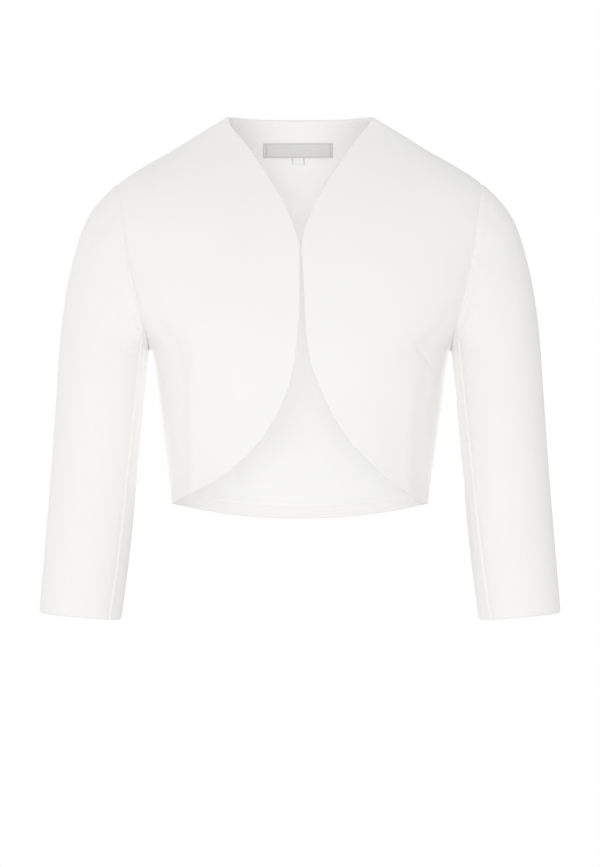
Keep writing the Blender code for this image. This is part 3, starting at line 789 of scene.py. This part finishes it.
def thread_stitches(name, starts, ends, ups, material):
    """Sewn stitches: each is a thread that arches from its start to its end and dips into the cloth at both.

    At share t the thread's middle is THREAD_RADIUS * (THREAD_ARCH * sin(pi t) - THREAD_SINK) above the cloth, and its
    own radius is THREAD_RADIUS * (1 - |2 t - 1| cubed), but no less than its tip. Its six sides are capped by quads.
    """
    share = np.linspace(0, 1, THREAD_STEPS + 1)
    turn = np.linspace(0, math.tau, THREAD_SIDES, endpoint=False)
    line = ends - starts
    side = unit(np.cross(unit(line), ups))
    arch = THREAD_RADIUS * (THREAD_ARCH * np.sin(math.pi * share) - THREAD_SINK)
    girth = THREAD_RADIUS * np.clip(1 - np.abs(2 * share - 1) ** 3, THREAD_TIP, None)
    middle = starts[:, None] + line[:, None] * share[:, None] + ups[:, None] * arch[:, None]
    around = side[:, None] * np.cos(turn)[:, None] + ups[:, None] * np.sin(turn)[:, None]
    points = middle[:, :, None] + around[:, None] * girth[:, None, None]
    ring = np.arange(len(share) * len(turn)).reshape(len(share), len(turn))
    ring = np.concatenate([ring, ring[:, :1]], axis=1)
    caps = np.array([ring[0, [0, 1, 2, 3]], ring[0, [3, 4, 5, 0]], ring[-1, [3, 2, 1, 0]], ring[-1, [0, 5, 4, 3]]])
    one = np.concatenate([grid_quads(ring)[:, ::-1], caps[:, ::-1]])
    faces = (one + np.arange(len(starts))[:, None, None] * points.shape[1] * points.shape[2]).reshape(-1, 4)
    return mesh_object(name, points.reshape(-1, 3), faces, material)


# Finishes

# Noises: the pebble's scale is counted in threads and the others' by the metre
PEBBLE_SCALE = 0.37
WEAVE_SWING = 0.35
CLOUD_SCALE = 14.0
SLUB_SCALE = 260.0
SLUB_SHARE = 0.35
HANDLED_SCALE = 45.0
HANDLED_SWING = 0.16
PRESSED_GLOSS = 0.10
RELIEF_STRENGTH = 0.5
SHEEN_ROUGHNESS = 0.45
CLOTH_SPECULAR = 0.25


def node(tree, kind, inputs=(), **options):
    """Adds a shader node with its options, and fills its inputs with values or with other nodes' sockets."""
    made = tree.nodes.new("ShaderNode" + kind)
    for key, value in options.items():
        setattr(made, key, value)
    for key, value in dict(inputs).items():
        if isinstance(value, bpy.types.NodeSocket):
            tree.links.new(value, made.inputs[key])
        else:
            made.inputs[key].default_value = value
    return made


def maths(tree, operation, *values):
    return node(tree, "Math", enumerate(values), operation=operation).outputs[0]


def noise(tree, place, scale, detail, roughness=0.5):
    inputs = {"Vector": place, "Scale": scale, "Detail": detail, "Roughness": roughness}
    return node(tree, "TexNoise", inputs).outputs[0]


def shader_group(name, inputs, outputs, fill):
    """A shader node group with named sockets. fill gets the tree and its inputs and returns its outputs' sockets."""
    tree = bpy.data.node_groups.new(name, "ShaderNodeTree")
    for label, kind in inputs:
        tree.interface.new_socket(label, in_out="INPUT", socket_type="NodeSocket" + kind)
    for label, kind in outputs:
        tree.interface.new_socket(label, in_out="OUTPUT", socket_type="NodeSocket" + kind)
    made = fill(tree, tree.nodes.new("NodeGroupInput").outputs)
    last = tree.nodes.new("NodeGroupOutput")
    for (label, _), socket in zip(outputs, made):
        tree.links.new(socket, last.inputs[label])
    return tree


def fill_weave(tree, given):
    """Plain weave: sin(pi u) * sin(pi v), with u and v counted in threads and pushed about by a fine noise.

    The push also raises the crepe's pebble: height = weave + push / 2.
    """
    scaled = node(tree, "VectorMath", {0: given["Place"], "Scale": given["Threads"]}, operation="SCALE").outputs[0]
    pebble = noise(tree, scaled, PEBBLE_SCALE, 3.0, 0.6)
    push = maths(tree, "MULTIPLY", maths(tree, "SUBTRACT", pebble, 0.5), given["Unevenness"])
    pushed = (maths(tree, "ADD", way, push) for way in node(tree, "SeparateXYZ", {0: scaled}).outputs[:2])
    waves = [maths(tree, "SINE", maths(tree, "MULTIPLY", way, math.pi)) for way in pushed]
    weave = maths(tree, "MULTIPLY_ADD", maths(tree, "MULTIPLY", *waves), WEAVE_SWING, 0.5)
    height = maths(tree, "MULTIPLY_ADD", push, 0.5, weave)
    return height, weave


def fill_tone(tree, given):
    """Slow change of tone: colour * (1 - amount * (cloud + SLUB_SHARE * slub) - fleck * thread - edge * press). The
    last term darkens along the press mask: stitch lines and painted shade.
    """
    cloud = noise(tree, given["Place"], CLOUD_SCALE, 3.0)
    slub = noise(tree, given["Place"], SLUB_SCALE, 2.0)
    both = maths(tree, "MULTIPLY_ADD", slub, SLUB_SHARE, cloud)
    darker = maths(tree, "MULTIPLY", both, given["Amount"])
    fleck = maths(tree, "MULTIPLY", given["Thread"], given["Fleck"])
    edge = maths(tree, "MULTIPLY", given["Press"], given["Stitch_And_Shade"])
    light = maths(tree, "SUBTRACT", 1.0, maths(tree, "ADD", edge, maths(tree, "ADD", darker, fleck)))
    return (node(tree, "VectorMath", {0: given["Colour"], "Scale": light}, operation="SCALE").outputs[0],)


def fill_finish(tree, given):
    """Roughness of handled cloth: uneven by a cloudy noise about its middle, and lower where it was pressed."""
    cloud = noise(tree, given["Place"], HANDLED_SCALE, 2.0)
    uneven = maths(tree, "MULTIPLY_ADD", maths(tree, "SUBTRACT", cloud, 0.5), HANDLED_SWING, given["Roughness"])
    return (maths(tree, "MULTIPLY_ADD", given["Press"], -PRESSED_GLOSS, uneven),)


WEAVE = shader_group(
    "woven_grain",
    (("Place", "Vector"), ("Threads", "Float"), ("Unevenness", "Float")),
    (("Height", "Float"), ("Thread", "Float")),
    fill_weave,
)
TONE = shader_group(
    "cloth_tone_and_edge_shade",
    (
        ("Place", "Vector"),
        ("Colour", "Color"),
        ("Amount", "Float"),
        ("Thread", "Float"),
        ("Fleck", "Float"),
        ("Press", "Float"),
        ("Stitch_And_Shade", "Float"),
    ),
    (("Colour", "Color"),),
    fill_tone,
)
FINISH = shader_group(
    "pressed_finish",
    (("Place", "Vector"), ("Roughness", "Float"), ("Press", "Float")),
    (("Roughness", "Float"),),
    fill_finish,
)


def cloth_finish(name, colour, threads, unevenness, relief, roughness, sheen, amount=0.025, fleck=0.02, edge=0.0):
    """A cloth material: woven relief along the piece's grain, slow tone, uneven roughness and a fixed sheen. edge
    darkens the colour along the press mask, as painted shade and stitch lines.
    """
    material = bpy.data.materials.new(name)
    material.use_nodes = True
    tree = material.node_tree
    grain = node(tree, "UVMap", uv_map="grain").outputs[0]
    place = node(tree, "TexCoord").outputs["Object"]
    press = node(tree, "Attribute", attribute_name="press").outputs["Fac"]
    given = {"Place": grain, "Threads": threads, "Unevenness": unevenness}
    weave = node(tree, "Group", given, node_tree=WEAVE).outputs
    given = {"Place": place, "Colour": (*colour, 1), "Amount": amount, "Fleck": fleck, "Press": press, "Stitch_And_Shade": edge}
    tone = node(tree, "Group", {**given, "Thread": weave["Thread"]}, node_tree=TONE).outputs
    given = {"Place": place, "Roughness": roughness, "Press": press}
    finish = node(tree, "Group", given, node_tree=FINISH).outputs
    bump = node(tree, "Bump", {"Height": weave["Height"], "Strength": RELIEF_STRENGTH, "Distance": relief}).outputs
    shader = tree.nodes["Principled BSDF"].inputs
    tree.links.new(tone["Colour"], shader["Base Color"])
    tree.links.new(finish["Roughness"], shader["Roughness"])
    tree.links.new(bump["Normal"], shader["Normal"])
    shader["Sheen Weight"].default_value = sheen
    shader["Sheen Roughness"].default_value = SHEEN_ROUGHNESS
    shader["Specular IOR Level"].default_value = CLOTH_SPECULAR
    return material


# In each: colour, threads to the metre, unevenness, relief, roughness and sheen
SHELL_CREPE = cloth_finish("shell_crepe", (0.925, 0.919, 0.904), 2100, 0.55, 0.00012, 0.86, 0.06)
LINING_SATIN = cloth_finish("lining_satin", (0.922, 0.919, 0.906), 3600, 0.12, 0.00004, 0.52, 0.10)
# label_tape darkens its stitch lines along its press mask, and paints a shadow line just above its lower edge
LABEL_TAPE = cloth_finish(
    "label_tape", (0.728, 0.726, 0.718), 2600, 0.10, 0.00008, 0.48, 0.10, amount=0.05, fleck=0.06, edge=0.13
)
# tab_tape paints shade along its long edges through its press mask
TAB_TAPE = cloth_finish("tab_tape", (0.90, 0.90, 0.90), 2600, 0.10, 0.00008, 0.55, 0.10, edge=0.30)
SEWING_THREAD = cloth_finish("sewing_thread", (0.90, 0.895, 0.88), 5200, 0.05, 0.00003, 0.60, 0.20)
LABEL_THREAD = cloth_finish("label_thread", (0.56, 0.56, 0.55), 5200, 0.05, 0.00003, 0.60, 0.20)


# Fronts


def set_to_armhole(normals, from_seam, face):
    """A panel's normals, leaned to the armhole seam's in the rows that end at it, and how far these sink to it."""
    rows = slice(SHOULDER_ROWS, SHOULDER_ROWS + ARMHOLE_ROWS)
    around = math.pi * np.linspace(0, 1, ARMHOLE_ROWS, endpoint=False)
    seam_normals, share = armhole_lean(around if face == FRONT else math.tau - around)
    leaned, sunk = normals.copy(), np.zeros_like(from_seam)
    leaned[rows] = lean(normals[rows], seam_normals[:, None], from_seam[rows], share[:, None])
    sunk[rows] = armhole_hollow(around)[:, None] * np.exp(-from_seam[rows] / HOLLOW_REACH)
    return leaned, sunk


def make_front(side_name, side):
    """A front from the neck point to the side hem. Its rows run from the front edge to the outer seam."""
    at_seam, middle = panel_levels(FRONT_TIP_CUT, SIDE_HEM_DROP - FRONT_CORNER_CUT)
    share = np.sin(np.linspace(0, math.pi / 2, SAMPLES))
    edge_drops = UNDERARM_DROP + (at_seam[-1] - UNDERARM_DROP) * share
    edge_points, _ = body_surface(front_edge_angle(edge_drops, side), edge_drops, FRONT)
    run = lengths(edge_points[None])[0]
    lower = np.interp(np.linspace(0, run[-1], SIDE_ROWS + 1), run, edge_drops)
    at_edge = np.concatenate([middle[: -SIDE_ROWS - 1], lower])
    ends = (front_edge_angle(at_edge, side), outer_angle(at_seam)), (at_edge, at_seam)
    inset = TURNED_ROUND, SEAM_ROUND + SEAM_SPACE
    angles, drops = panel_grid(*ends, FRONT, FRONT_COLUMNS, inset, FRONT_CROWD)
    surface, normals = body_surface(angles, drops, FRONT)

    bust = bell(angles - BUST_ANGLE, BUST_ANGLE_SPREAD) * bell(drops - BUST_DROP, BUST_DROP_SPREAD)
    folds = creases(FRONT_FOLDS[side_name], angles, drops, BODY_FOLD_SCALE)
    rise = (BUST_RISE * bust - folds) * smooth_step((outer_angle(drops) - angles) / BODY_FOLD_FADE)
    run = lengths(surface)
    from_edge, from_seam = run, run[:, -1:] - run
    normals, sunk = set_to_armhole(normals, from_seam, FRONT)
    rise -= sunk
    along_seam = lengths(surface, axis=0)[:, -1:]
    rise += seam_form(from_seam, along_seam, side)
    rise += turned_step(from_edge, TURNING_WIDTH, TURNING_SOFT, TURNING_STEP)
    press = np.maximum(bell(from_seam, SEAM_PRESS), bell(from_edge, TURNED_PRESS))
    edges = CUT_EDGE, CUT_EDGE, TURNED_EDGE, SEAM_EDGE
    return shell_panel(f"front_{side_name}_cloth", side, surface, normals, rise, edges, press)


# Back, with what is sewn inside it


def back_form():
    """Levels, points, normals and press mask of the back, from the wearer's right outer seam to the left one."""
    at_seam, middle = panel_levels(BACK_NECK_DROP + TURNED_ROUND, SIDE_HEM_DROP - TURNED_ROUND)
    ends = (np.zeros_like(middle), outer_angle(at_seam)), (middle, at_seam)
    inset = 0.0, SEAM_ROUND + SEAM_SPACE
    angles, drops = panel_grid(*ends, BACK, BACK_HALF_COLUMNS, inset, BACK_HALF_CROWD)
    angles = np.concatenate([-angles[:, :0:-1], angles], axis=1)
    drops = np.concatenate([drops[:, :0:-1], drops], axis=1)
    surface, normals = body_surface(angles, hem_drop(angles, drops), BACK)
    folds = creases(BACK_FOLDS, angles, drops, BODY_FOLD_SCALE)
    rise = -folds * smooth_step((outer_angle(drops) - np.abs(angles)) / BODY_FOLD_FADE)
    run = lengths(surface)
    from_seam = np.minimum(run, run[:, -1:] - run)
    half = BACK_HALF_COLUMNS
    for columns, side in ((slice(None, half), RIGHT), (slice(half, None), LEFT)):
        leaned, sunk = set_to_armhole(mirrored(normals[:, columns], side), from_seam[:, columns], BACK)
        normals[:, columns] = mirrored(leaned, side)
        rise[:, columns] -= sunk
    down = lengths(surface, axis=0)
    from_hem, from_neck = down[-1:] - down, down
    along_seam = np.where(angles < 0, down[:, :1], down[:, -1:])
    rise += seam_form(from_seam, along_seam, np.sign(angles) + BACK_SEAM_SHIFT)
    rise += turned_step(from_hem, TURN_UP_HEIGHT, HEM_STEP_SOFT, TURNING_STEP)
    rise += turned_step(from_neck, TURNING_WIDTH, TURNING_SOFT, TURNING_STEP)
    pressed = (from_seam, SEAM_PRESS), (from_hem, HEM_PRESS), (from_neck, TURNED_PRESS)
    press = np.maximum.reduce([bell(distance, width) for distance, width in pressed])
    surface = surface + normals * rise[..., None]
    from_shoulder = math.pi / 2 - np.abs(angles)
    lift = NECK_LIFT + NECK_CORNER_LIFT * bell(from_shoulder - NECK_CORNER_AT, NECK_CORNER_SPREAD)
    surface[..., 2] += lift * smooth_step(from_shoulder / NECK_LIFT_FADE) * np.exp(-from_neck / NECK_LIFT_REACH)
    return angles, middle, settled(surface), normals, press


def make_back():
    """The back and what is sewn inside it, which is made from the back's own points, moved inwards."""
    angles, levels, surface, normals, press = back_form()
    edges = TURNED_EDGE, TURNED_EDGE, SEAM_EDGE, SEAM_EDGE
    back = cloth_shell("back_cloth", surface, normals, SHELL_THICK, edges, press, SHELL_CREPE)

    on_shell = SHELL_THICK + LAYER_GAP
    turn_up = SIDE_HEM_DROP - TURN_UP_HEIGHT
    columns = spaced(surface, LINING_COLUMNS, (LINING_SIDE_INSET, LINING_SIDE_INSET))

    def inside(top, bottom, count):
        """Points, normals, angles and levels of a stretch of the back between two levels."""
        drops = np.linspace(top, bottom, count + 1)
        rows = np.interp(drops, levels, np.arange(len(levels)))[:, None]
        at = sampled(columns[..., None], rows, np.arange(LINING_COLUMNS + 1.0))[..., 0]
        grids = (sampled(grid, rows, at) for grid in (surface, normals, angles[..., None]))
        return *grids, np.broadcast_to(drops[:, None], at.shape)

    points, outward, angle, drop = inside(BACK_NECK_DROP + LINING_NECK_INSET, turn_up - FELL_CRACK, LINING_ROWS)
    slack = creases(LINING_FOLDS, angle[..., 0], drop, BODY_FOLD_SCALE)
    down = lengths(points, axis=0)
    run = lengths(points)
    from_side = np.minimum(run, run[:, -1:] - run)
    from_fell = down[-1:] - down
    slack = slack * smooth_step(from_side / SLACK_SIDE_FADE) * smooth_step(from_fell / SLACK_FELL_FADE)
    slack += FELL_PUFF * bell(from_fell - FELL_PUFF_AT, FELL_PUFF_REACH)
    slack -= LINING_NECK_SINK * bell(down, LINING_NECK_SINK_REACH)
    lining_points = points - outward * (on_shell + slack)[..., None]
    pressed = np.maximum(bell(from_fell, FELL_PRESS), bell(down, LINING_NECK_PRESS))
    cut = (CUT_EDGE,) * 4
    lining = cloth_shell("lining_cloth", lining_points, outward, LINING_THICK, cut, pressed, LINING_SATIN)
    lining_face = lining_points - outward * LINING_THICK, -outward

    top, bottom = turn_up + TURN_UP_TOP_INSET, SIDE_HEM_DROP - TURN_UP_BOTTOM_INSET
    points, outward, _, _ = inside(top, bottom, TURN_UP_ROWS)
    flat = np.ones(points.shape[:2])
    turned = points - outward * on_shell
    hem = cloth_shell("hem_turn_up_cloth", turned, outward, LINING_THICK, cut, flat, SHELL_CREPE)
    return back, lining, hem, lining_face


def on_lining(reach, drop, depth):
    """Points on the lining at a reach and drop, so deep inside the back's outer face, with inward normals."""
    angle = np.sign(reach) * section_angle(np.abs(reach), drop)
    points, outward = body_surface(angle, hem_drop(angle, drop), BACK)
    return points - outward * depth[..., None], -outward


def label_face(share, fall):
    """Points and inward normals of the label's face, by share of its half width and of its height.

    Its ends are folded under, its lower edge is woven firmer, and its middle stands a little proud of the lining: by
    (1 - share to the fourth) * (edge + (1 - edge) * sin(pi (0.1 + 0.8 fall))).
    """
    reach = LABEL_SHIFT + LABEL_WIDTH / 2 * share
    drop = LABEL_TOP_DROP + (LABEL_BOTTOM_DROP - LABEL_TOP_DROP) * fall
    swell = LABEL_PROUD_AT_EDGE + (1 - LABEL_PROUD_AT_EDGE) * np.sin(math.pi * (fall * 0.8 + 0.1))
    proud = LABEL_PROUD * (1 - share**4) * swell
    from_end = (1 - np.abs(share)) * LABEL_WIDTH / 2
    folded = turned_step(from_end, LABEL_END_FOLD, LABEL_FOLD_SOFT, LABEL_FOLD_RISE)
    selvedge = SELVEDGE_RISE * bell(1 - fall, SELVEDGE_REACH)
    points, inward = on_lining(reach, drop, TAPE_DEPTH + proud)
    return points + inward * (TAPE_THICK + folded + selvedge)[..., None], inward


def make_label():
    """A bare tape, sewn across both ends."""
    share, fall = np.meshgrid(np.linspace(-1, 1, LABEL_COLUMNS + 1), np.linspace(0, 1, LABEL_ROWS + 1))
    face, inward = label_face(share, fall)
    from_end = (1 - np.abs(share)) * LABEL_WIDTH / 2
    from_bottom = (1 - fall) * (LABEL_BOTTOM_DROP - LABEL_TOP_DROP)
    at_stitches = bell(from_end - LABEL_STITCH_INSET, LABEL_STITCH_PRESS)
    # press darkens the tape along its stitch lines and paints a shadow line just above its lower edge
    press = np.maximum(at_stitches, bell(from_bottom - LABEL_LOW_SHADE_AT, LABEL_LOW_SHADE_REACH))
    tape = cloth_shell("label_cloth", face, inward, TAPE_THICK, (CUT_EDGE,) * 4, press, LABEL_TAPE)
    falls = np.linspace(LABEL_STITCH_MARGIN, 1 - LABEL_STITCH_MARGIN, LABEL_STITCHES + 1)
    across = (1 - 2 * LABEL_STITCH_INSET / LABEL_WIDTH) * np.repeat((-1.0, 1.0), LABEL_STITCHES)
    starts, ups = label_face(across, np.tile(falls[:-1] + LABEL_STITCH_GAP, 2))
    ends, _ = label_face(across, np.tile(falls[1:] - LABEL_STITCH_GAP, 2))
    sewing = thread_stitches("label_stitches", starts, ends, ups, LABEL_THREAD)
    return tape, sewing


def make_neck_stitches(face, inward):
    """Understitching along a row of the lining, which keeps the lining's edge from rolling out at the neck."""
    columns = np.arange(face.shape[1], dtype=float)
    run = lengths(sampled(face, NECK_STITCH_ROW, columns)[None])[0]
    places = np.arange(NECK_STITCH_PITCH, run[-1] - NECK_STITCH_PITCH, NECK_STITCH_PITCH)
    starts, ends = (np.interp(places + ahead, run, columns) for ahead in (0.0, NECK_STITCH_LENGTH))
    ups = unit(sampled(inward, NECK_STITCH_ROW, starts))
    lines = (sampled(face, NECK_STITCH_ROW, at) for at in (starts, ends))
    return thread_stitches("neck_stitches", *lines, ups, SEWING_THREAD)


def make_tab():
    """A tab of tape folded double, its two ends caught under the label and its fold at the bottom.

    Its path runs down the layer on the lining, half round the fold and up the layer in front. q is the way down and
    h the height over the lining.
    """
    straight = TAB_BOTTOM_DROP - LABEL_BOTTOM_DROP - TAB_GAP - TAB_FOLD_RADIUS
    turn = np.linspace(-math.pi / 2, math.pi / 2, TAB_FOLD_ROWS + 1)
    leg = np.linspace(0, straight, TAB_LEG_ROWS, endpoint=False)
    q = np.concatenate([leg, straight + TAB_FOLD_RADIUS * np.cos(turn), leg[::-1]])
    low, high = np.zeros_like(leg), np.full_like(leg, 2 * TAB_FOLD_RADIUS)
    h = np.concatenate([low, TAB_FOLD_RADIUS * (1 + np.sin(turn)), high])
    slope = np.concatenate([low - math.pi / 2, turn, low + math.pi / 2])
    share = np.linspace(-1, 1, TAB_COLUMNS + 1)
    reach = np.broadcast_to(LABEL_SHIFT + TAB_WIDTH / 2 * share, (len(q), len(share)))
    drop = np.broadcast_to((LABEL_BOTTOM_DROP + TAB_GAP + q)[:, None], reach.shape)
    depth = TAPE_DEPTH + np.broadcast_to(h[:, None], reach.shape)
    points, inward = on_lining(reach, drop, depth)
    down = np.array((0.0, 0.0, -1.0)) + inward * inward[..., 2:]
    outward = unit(down) * np.cos(slope)[:, None, None] + inward * np.sin(slope)[:, None, None]
    # press paints shade along both long edges of the tab
    press = np.broadcast_to(bell((1 - np.abs(share)) * TAB_WIDTH / 2, TAB_EDGE_SHADE_REACH), reach.shape)
    return cloth_shell("size_tab_cloth", points, outward, TAB_THICK, (THIN_EDGE,) * 4, press, TAB_TAPE)


# Sleeves


SLEEVE_PARTS = (
    ("upper", ("back_seam", "front_seam"), UPPER_COLUMNS),
    ("under", ("front_seam", "back_seam"), UNDER_COLUMNS),
)


def make_sleeve_part(part, side_name, side, seams, columns):
    """The upper or under part of a sleeve, between its two long seams, from the armhole to the cuff.

    Its rows are even along the front of the sleeve and crowd towards its ends. Each column starts so far below the
    armhole, and stops so far above the cuff, as the seam and the turned edge need there.
    """
    inset = SEAM_ROUND + SEAM_SPACE
    stations = np.linspace(0, CUFF_ROW, SAMPLES)
    front_line = sleeve_points(np.full(SAMPLES, math.pi / 2), stations)[None]
    stations = spaced(front_line, SLEEVE_ROWS, (0, 0))[0] * CUFF_ROW / (SAMPLES - 1)
    start, end = (curve_through(SLEEVE_SEAMS["station"], SLEEVE_SEAMS[seam], stations)[:, None] for seam in seams)
    if start[0] > end[0]:
        start = start - math.tau
    share = np.linspace(0, 1, SAMPLES)
    rows = sleeve_points(start + (end - start) * share, stations[:, None])
    share = spaced(rows, columns, (inset, inset)) / (SAMPLES - 1)
    angles = start + (end - start) * share

    step = 0.01

    def row_length(row_angles, station):
        """Length of cloth to one row of the sleeve's table, from a small step on from a station."""
        moved = sleeve_points(row_angles, station + step) - sleeve_points(row_angles, station)
        return np.linalg.norm(moved, axis=-1) / step

    first = inset / row_length(angles[0], 0.0)
    last = CUFF_ROW - TURNED_ROUND / row_length(angles[-1], CUFF_ROW - step)
    station_grid = first + (last - first) * (stations / CUFF_ROW)[:, None]
    surface, normals = sleeve_surface(angles, station_grid)

    folds = creases(SLEEVE_FOLDS[side_name], angles % math.tau, station_grid, SLEEVE_FOLD_SCALE)
    clear_of_armhole = smooth_step(station_grid / ARMHOLE_FOLD_FADE)
    clear = smooth_step(np.minimum(angles - start, end - angles) / SLEEVE_FOLD_FADE) * clear_of_armhole
    run, down = lengths(surface), lengths(surface, axis=0)
    from_seam = np.minimum(run, run[:, -1:] - run)
    from_cuff = down[-1:] - down
    rise = -folds * clear
    rise += seam_form(from_seam, down[:, :1], side + LONG_SEAM_SHIFT, LONG_SEAM_ROLL)
    rise += seam_form(down, run[:1], side + ARMHOLE_SEAM_SHIFT)
    if part == "upper":
        rise += CAP_LIFT * bell(down - CAP_LIFT_AT, CAP_LIFT_REACH) * smooth_step(down / CAP_LIFT_AT)
    else:
        rise += LONG_SEAM_RIDGE * bell(from_seam - LONG_SEAM_RIDGE_AT, LONG_SEAM_RIDGE_REACH) * clear_of_armhole
    rise -= armhole_hollow(angles[0]) * np.exp(-down / HOLLOW_SLEEVE_REACH)
    seam_normals, share = armhole_lean(angles[0])
    normals = lean(normals, seam_normals, down, share)
    rise += turned_step(from_cuff, CUFF_HEM_DEPTH, HEM_STEP_SOFT, TURNING_STEP)
    into_tuck = np.clip(1 - from_cuff / CUFF_TUCK_REACH, 0, CUFF_TUCK_LIMIT)
    rise -= CUFF_TUCK * (1 - np.sqrt(1 - into_tuck**2))
    pressed = bell(from_seam, SEAM_PRESS), bell(from_cuff, CUFF_PRESS), ARMHOLE_PRESS_SHARE * bell(down, SEAM_PRESS)
    press = np.maximum.reduce(pressed)
    edges = SEAM_EDGE, TURNED_EDGE, SEAM_EDGE, SEAM_EDGE
    return shell_panel(f"{part}_sleeve_{side_name}_cloth", side, surface, normals, rise, edges, press)


# Assembly


def sew_in(piece, node_name, sewing=()):
    """Puts a cloth piece on the frame: it rides on the jacket and stands for its solid, which it hides."""
    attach(piece, "root")
    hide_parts(node_name)
    for stitches in sewing:
        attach(stitches, "root")


for side_name, side in SIDES:
    front = make_front(side_name, side)
    sew_in(front, f"front_{side_name}")
    for part, seams, columns in SLEEVE_PARTS:
        sleeve = make_sleeve_part(part, side_name, side, seams, columns)
        sew_in(sleeve, f"{part}_sleeve_{side_name}")

back, lining, hem, lining_face = make_back()
sew_in(back, "back")
neck_stitches = make_neck_stitches(*lining_face)
sew_in(lining, "back_lining", [neck_stitches])
sew_in(hem, "back_hem_turn_up")
label, label_stitches = make_label()
sew_in(label, "label", [label_stitches])
sew_in(make_tab(), "size_tab")


# Stage

CAMERA_DISTANCE = 5.0
CAMERA_SENSOR = 36.0
CAMERA_SIGHT = 60.0
FRAME_HEIGHT = 0.91035
FRAME_CENTRE = -0.33285
SURROUNDING_LIGHT = 0.796
FLOOR_LEVEL = -1.35
FLOOR_RINGS = (0.0005, 0.6, 1.4, 2.4, 3.4)
FLOOR_SIDES = 96
FLOOR_CLOUD_SCALE = 2.0
FLOOR_TONES = (0.86, 0.90)
FLOOR_ROUGHNESS = 0.9

scene = bpy.context.scene
camera_data = bpy.data.cameras.new("camera")
camera_data.sensor_width = CAMERA_SENSOR
camera_data.lens = CAMERA_SENSOR * CAMERA_DISTANCE / FRAME_HEIGHT
camera_data.clip_end = CAMERA_SIGHT
camera = bpy.data.objects.new("camera", camera_data)
camera.location = (0.0, -CAMERA_DISTANCE, FRAME_CENTRE)
camera.rotation_euler = (math.pi / 2, 0.0, 0.0)
scene.collection.objects.link(camera)
scene.camera = camera
scene.view_settings.view_transform = "Standard"
scene.view_settings.look = "None"


def soft_light(name, place, aim, size, power):
    """An even lamp at a place, turned towards its aim. size is its width and height."""
    lamp = bpy.data.lights.new(name, "AREA")
    lamp.shape, lamp.size, lamp.size_y, lamp.energy = "RECTANGLE", *size, power
    holder = bpy.data.objects.new(name, lamp)
    holder.location = place
    holder.rotation_euler = (Vector(aim) - Vector(place)).to_track_quat("-Z", "Y").to_euler()
    holder.visible_camera = False
    scene.collection.objects.link(holder)


# Name, place, aim, side and power of each lamp: four round the jacket, and three inside it for the lining
MIDDLE = (0.0, 0.0, -0.30)
LAMPS = (
    ("front_lamp", (-0.3, -4.4, -0.20), MIDDLE, 1.3, 19.5),
    ("low_lamp", (0.0, -2.2, -1.10), MIDDLE, 1.2, 9.2),
    ("left_lamp", (-3.0, -0.3, -0.30), MIDDLE, 2.0, 5.1),
    ("back_lamp", (-2.2, 2.0, 0.90), MIDDLE, 1.0, 9.0),
    ("neck_lamp", (0.0, -0.020, -0.100), (0.0, 0.1, -0.045), 0.06, 0.0270),
    ("middle_lamp", (0.0, -0.030, -0.208), (0.0, 0.1, -0.197), 0.05, 0.0432),
    ("inner_lamp", (-0.020, -0.073, -0.340), (-0.006, 0.1, -0.334), 0.10, 0.0396),
)
for name, place, aim, width, power in LAMPS:
    soft_light(name, place, aim, (width, width), power)

# Between each sleeve and the body, where little light falls: one lamp towards the body and one towards the sleeve
GAP_LAMP_PLACE = (0.1570, -0.010, -0.325)
GAP_LAMP_SIZE = (0.05, 0.160)
TO_BODY = {RIGHT: 0.0076, LEFT: 0.0059}
TO_SLEEVE = 0.0024
for _, side in SIDES:
    place = mirrored(np.array(GAP_LAMP_PLACE), side)
    soft_light("side_lamp", place, place - (side, 0.0, 0.0), GAP_LAMP_SIZE, TO_BODY[side])
    soft_light("under_sleeve_lamp", place, place + (side, 0.0, 0.0), GAP_LAMP_SIZE, TO_SLEEVE)


def make_world():
    """White surroundings, seen white by the camera and dimmer as light."""
    world = bpy.data.worlds.new("studio")
    world.use_nodes = True
    tree = world.node_tree
    tree.nodes.clear()
    seen = node(tree, "Background", {"Color": (1, 1, 1, 1), "Strength": 1.0})
    light = node(tree, "Background", {"Color": (1, 1, 1, 1), "Strength": SURROUNDING_LIGHT})
    ray = node(tree, "LightPath").outputs["Is Camera Ray"]
    mix = node(tree, "MixShader", {0: ray, 1: light.outputs[0], 2: seen.outputs[0]})
    node(tree, "OutputWorld", {"Surface": mix.outputs[0]})
    scene.world = world


make_world()


def make_floor():
    """A round pale floor of level rings, with a faint cloudy tone."""
    turn = np.linspace(0, math.tau, FLOOR_SIDES, endpoint=False)
    radius = np.array(FLOOR_RINGS)[:, None]
    level = np.full((len(radius), len(turn)), FLOOR_LEVEL)
    points = np.stack([radius * np.cos(turn), radius * np.sin(turn), level], axis=-1)
    index = np.arange(level.size).reshape(level.shape)
    faces = grid_quads(np.concatenate([index, index[:, :1]], axis=1))[:, ::-1]
    material = bpy.data.materials.new("pale_floor")
    material.use_nodes = True
    tree = material.node_tree
    cloud = noise(tree, node(tree, "TexCoord").outputs["Object"], FLOOR_CLOUD_SCALE, 2.0)
    ramp = node(tree, "ValToRGB", {0: cloud})
    for element, tone in zip(ramp.color_ramp.elements, FLOOR_TONES):
        element.color = (tone, tone, tone, 1)
    shader = tree.nodes["Principled BSDF"].inputs
    tree.links.new(ramp.outputs[0], shader["Base Color"])
    shader["Roughness"].default_value = FLOOR_ROUGHNESS
    floor = mesh_object("floor", points.reshape(-1, 3), faces, material)


make_floor()
